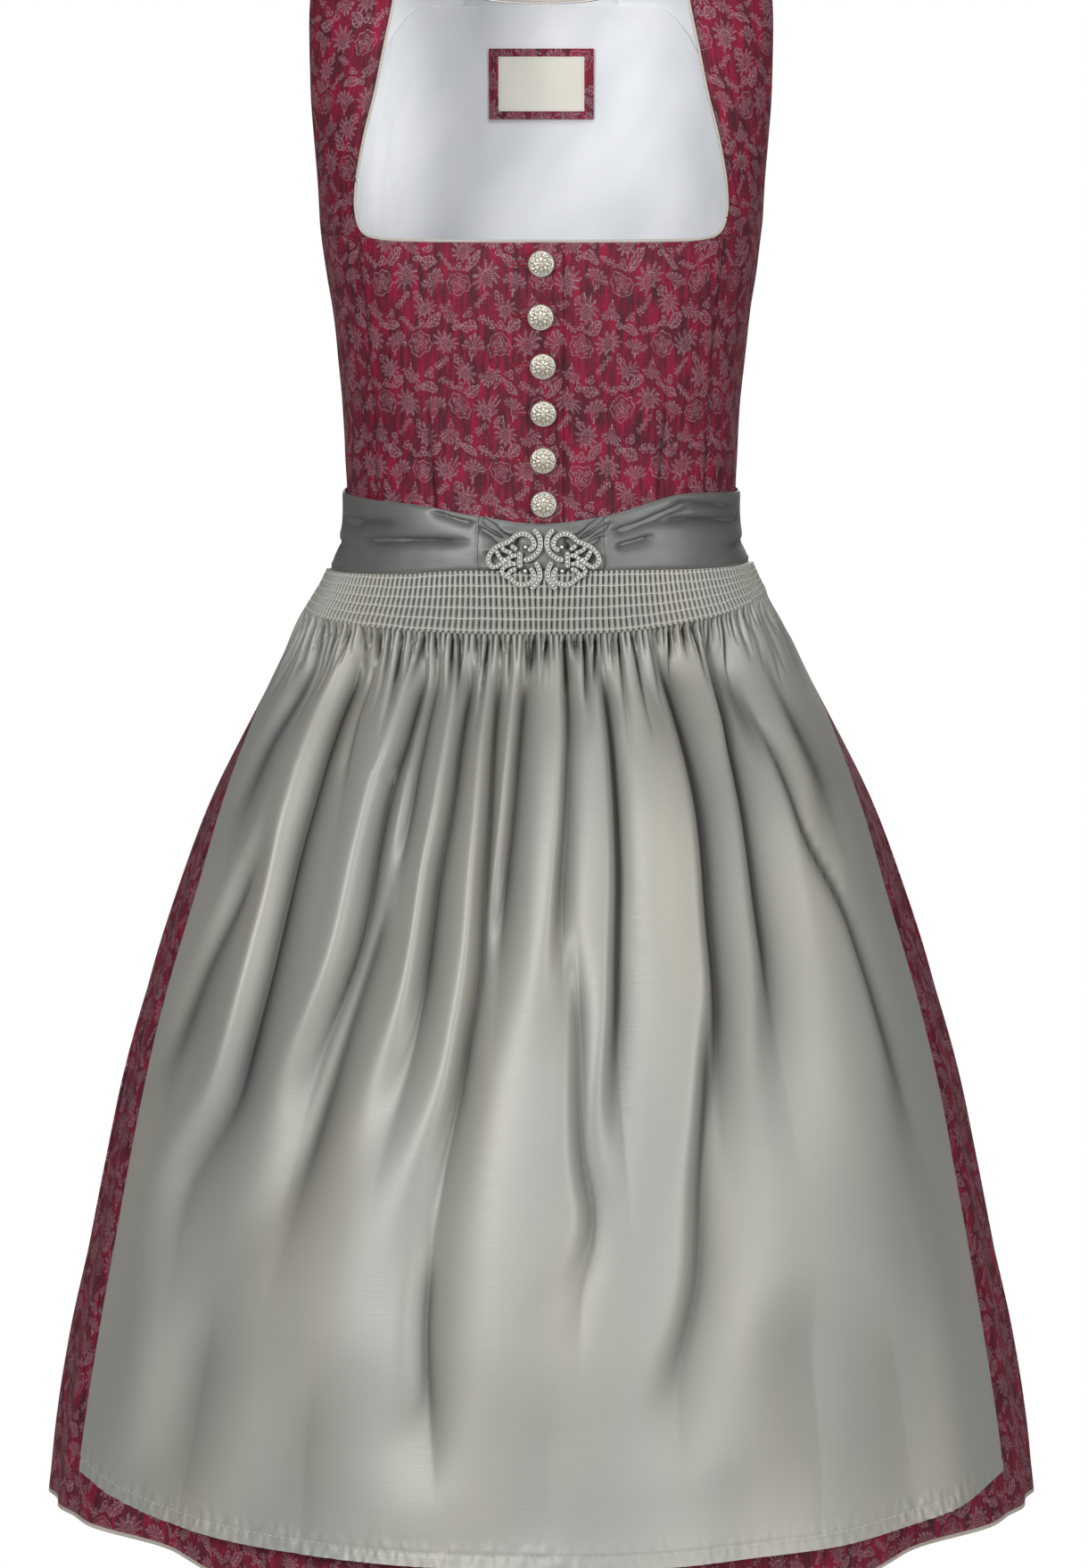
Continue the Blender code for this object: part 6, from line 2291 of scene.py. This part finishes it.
@dataclass
class Clasp:
    """Two mirrored silver halves of scrolls, set with stones."""

    middle: tuple[float, float, float] = (0.0015, -0.1060, -0.4182)
    tilt: float = math.radians(8.6)
    split: float = 0.25
    stone: float = 1.70
    spacing: float = 2.15
    beads: tuple[tuple[float, float], ...] = ((11.6, 8.2), (11.8, -7.4))
    bead: float = 3.6
    sample: float = 0.7
    swell: float = 1.18

    @property
    def turn(self) -> Array:
        """The turn that leans the clasp with the belt."""
        return np.array(Matrix.Rotation(-self.tilt, 3, "X"))

    def build(self) -> None:
        """Make both halves with their stones."""
        stones, pearls = [], []
        for side in Side:
            bands = []
            for number, band in enumerate(CLASP_SCROLLS):
                path = self.smooth(np.array(band.path))
                bands.append(self.band(f"clasp_band_{number}", path, band, side))
                stones.append(self.stones(path, band, side))
            placed(joined(f"clasp_{side.word}_silver", bands), "clasp_metal", f"clasp_{side.word}")
            pearls.append(self.out(np.array(self.beads), 1.6, side))
        normal = self.turn @ np.array([0.0, -1.0, 0.0])
        stones, pearls = np.concatenate(stones), np.concatenate(pearls)
        on_beads = pearls + normal * self.bead * 0.45 * MM
        cut, ball = Scatter(Unit.STONE, WARDROBE.stone), Scatter(Unit.BEAD, WARDROBE.clasp_silver)
        for name, unit, points, width, height in (
            ("clasp_stones", cut, stones, self.stone, 1.3),
            ("clasp_beads", ball, pearls, self.bead, self.bead),
            ("clasp_bead_stones", cut, on_beads, 2.3, 1.3),
        ):
            along, out = np.tile([1.0, 0.0, 0.0], (len(points), 1)), np.tile(normal, (len(points), 1))
            placed(unit.build(name, points, along, out, (width * MM, width * MM, height * MM)), "clasp_metal")

    def out(self, path: Array, depth: float, side: Side) -> Array:
        """Points of the clasp, moved out of its plane and set in place.

        Args:
            path: millimetres out from the split and up from the middle.
            depth: how far out of the plane they stand, in millimetres.
            side: the wearer's side.

        Returns:
            The points, in metres.
        """
        out = np.full(len(path), -depth)
        local = np.stack([side.value * (path[:, 0] + self.split), out, path[:, 1]], axis=1) * MM
        return local @ self.turn.T + np.array(self.middle)

    def smooth(self, path: Array) -> Array:
        """A path resampled along a smooth curve through its points."""
        keys = run_length(path, axis=0)
        at = np.linspace(0.0, keys[-1], max(4, int(keys[-1] / self.sample)))
        return hermite(keys, path, np.gradient(path, keys, axis=0), at)

    def band(self, name: str, path: Array, scroll: Scroll, side: Side) -> Object:
        """A channelled band along a path, with rounded ends.

        Args:
            name: the band's name.
            path: its smooth path, in millimetres.
            scroll: its sizes.
            side: the wearer's side.

        Returns:
            The object.
        """
        ahead = frame_along(path)
        beside = np.stack([-ahead[:, 1], ahead[:, 0]], axis=1)
        length = run_length(path, axis=0)
        from_end = np.minimum(length, length[-1] - length)
        narrow = np.sqrt(np.clip(0.30 + from_end / (scroll.width * 0.55), 0.0, 1.0))
        profile = ((0.50, 0.0), (0.50, 0.72), (0.44, 0.95), (0.36, 1.0), (0.27, 0.93), (0.22, 0.80))
        profile = profile + tuple((-across, level) for across, level in reversed(profile))
        rings, levels = [], []
        for across, level in profile:
            moved = path + beside * (across * scroll.width * self.swell * narrow)[:, None]
            rings.append(self.out(moved, level * scroll.depth, side))
            levels.append(np.full(len(path), 0.15 + 0.85 * (level > 0.9)))
        points, levels = np.stack(rings, axis=1), np.stack(levels, axis=1)
        return ring_mesh(name, points, WARDROBE.clasp_silver, levels=levels, sharp=35.0)

    def stones(self, path: Array, scroll: Scroll, side: Side) -> Array:
        """Where the stones sit along a band.

        Args:
            path: the band's smooth path, in millimetres.
            scroll: its sizes.
            side: the wearer's side.

        Returns:
            A point for each stone.
        """
        length = run_length(path, axis=0)[-1]
        count = max(1, int((length - 0.6) / self.spacing))
        at = (np.arange(count) + 0.5) / count * length
        return self.out(resampled(path, at, path), scroll.depth * 0.98, side)


class Lamp(NamedTuple):
    """A soft square light: its name, place, size in metres, power in watts, aim and spread in degrees."""

    name: str
    place: tuple[float, float, float]
    size: float
    power: float
    aim: tuple[float, float, float] = (0.0, 0.0, -0.55)
    spread: float = 180.0


@dataclass
class Studio:
    """The pale floor, the soft lights and the camera at the photo's angle."""

    floor_height: float = -1.60
    floor_radius: float = 1.7
    camera_place: tuple[float, float, float] = (0.0018, -4.5, 0.0214)
    camera_tilt: float = 7.6
    lens: float = 156.18
    ambient: float = 0.09
    lights: tuple[Lamp, ...] = (
        Lamp("key", (-1.9, -3.9, 0.6), 1.0, 88.0),
        Lamp("front", (0.4, -4.3, 0.8), 1.2, 18.0),
        Lamp("right", (2.9, -3.2, -0.2), 1.6, 54.0),
        Lamp("neck", (0.10, -0.45, 0.42), 0.30, 0.25, (-0.04, 0.08, -0.15), 60.0),
        Lamp("back", (0.8, 4.0, 1.2), 2.0, 90.0),
    )

    def build(self) -> None:
        """Make the floor, the world, the lights and the camera."""
        scene = bpy.context.scene
        scene.view_settings.view_transform = "Standard"
        mesh = bpy.data.meshes.new("floor")
        body = bmesh.new()
        bmesh.ops.create_circle(body, cap_ends=True, segments=64, radius=self.floor_radius)
        body.to_mesh(mesh)
        body.free()
        mesh.transform(Matrix.Translation((0.0, 0.0, self.floor_height)))
        mesh.materials.append(WARDROBE.paint.material())
        linked("floor", mesh)
        self.surroundings()
        for lamp in self.lights:
            self.light(lamp)
        camera = bpy.data.cameras.new("camera")
        camera.lens, camera.sensor_width, camera.clip_end = self.lens, 36.0, 2000.0
        seat = linked("camera", camera)
        seat.location = self.camera_place
        seat.rotation_euler = (math.radians(90.0 - self.camera_tilt), 0.0, 0.0)
        scene.camera = seat

    def surroundings(self) -> None:
        """A white backdrop all round that gives only a little light itself."""
        world = bpy.data.worlds.new("studio")
        world.use_nodes = True
        tree = world.node_tree
        tree.nodes.clear()
        white = (1.0, 1.0, 1.0, 1.0)
        lit, seen = (
            add(tree, "ShaderNodeBackground", {"Color": white, "Strength": strength}).outputs[0]
            for strength in (self.ambient, 1.0)
        )
        factor = add(tree, "ShaderNodeLightPath").outputs["Is Camera Ray"]
        mixed = add(tree, "ShaderNodeMixShader", {0: factor, 1: lit, 2: seen})
        add(tree, "ShaderNodeOutputWorld", {"Surface": mixed.outputs[0]})
        bpy.context.scene.world = world

    def light(self, lamp: Lamp) -> None:
        """Hang a soft light out of the camera's sight.

        Args:
            lamp: the light.
        """
        data = bpy.data.lights.new(lamp.name, "AREA")
        data.size, data.energy, data.spread = lamp.size, lamp.power, math.radians(lamp.spread)
        hung = linked(lamp.name, data)
        hung.location = lamp.place
        hung.rotation_euler = (Vector(lamp.aim) - hung.location).to_track_quat("-Z", "Y").to_euler()
        hung.visible_camera = False


def main() -> None:
    """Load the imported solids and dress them, piece by piece."""
    logging.basicConfig(level=logging.INFO, format="%(name)s %(message)s")
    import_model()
    Studio().build()
    for assembly in (Bodice(), Inside(), Skirt(), Apron(), Belt(), Fastening(), Clasp()):
        log.info("%s", type(assembly).__name__)
        assembly.build()


if __name__ == "__main__":
    main()
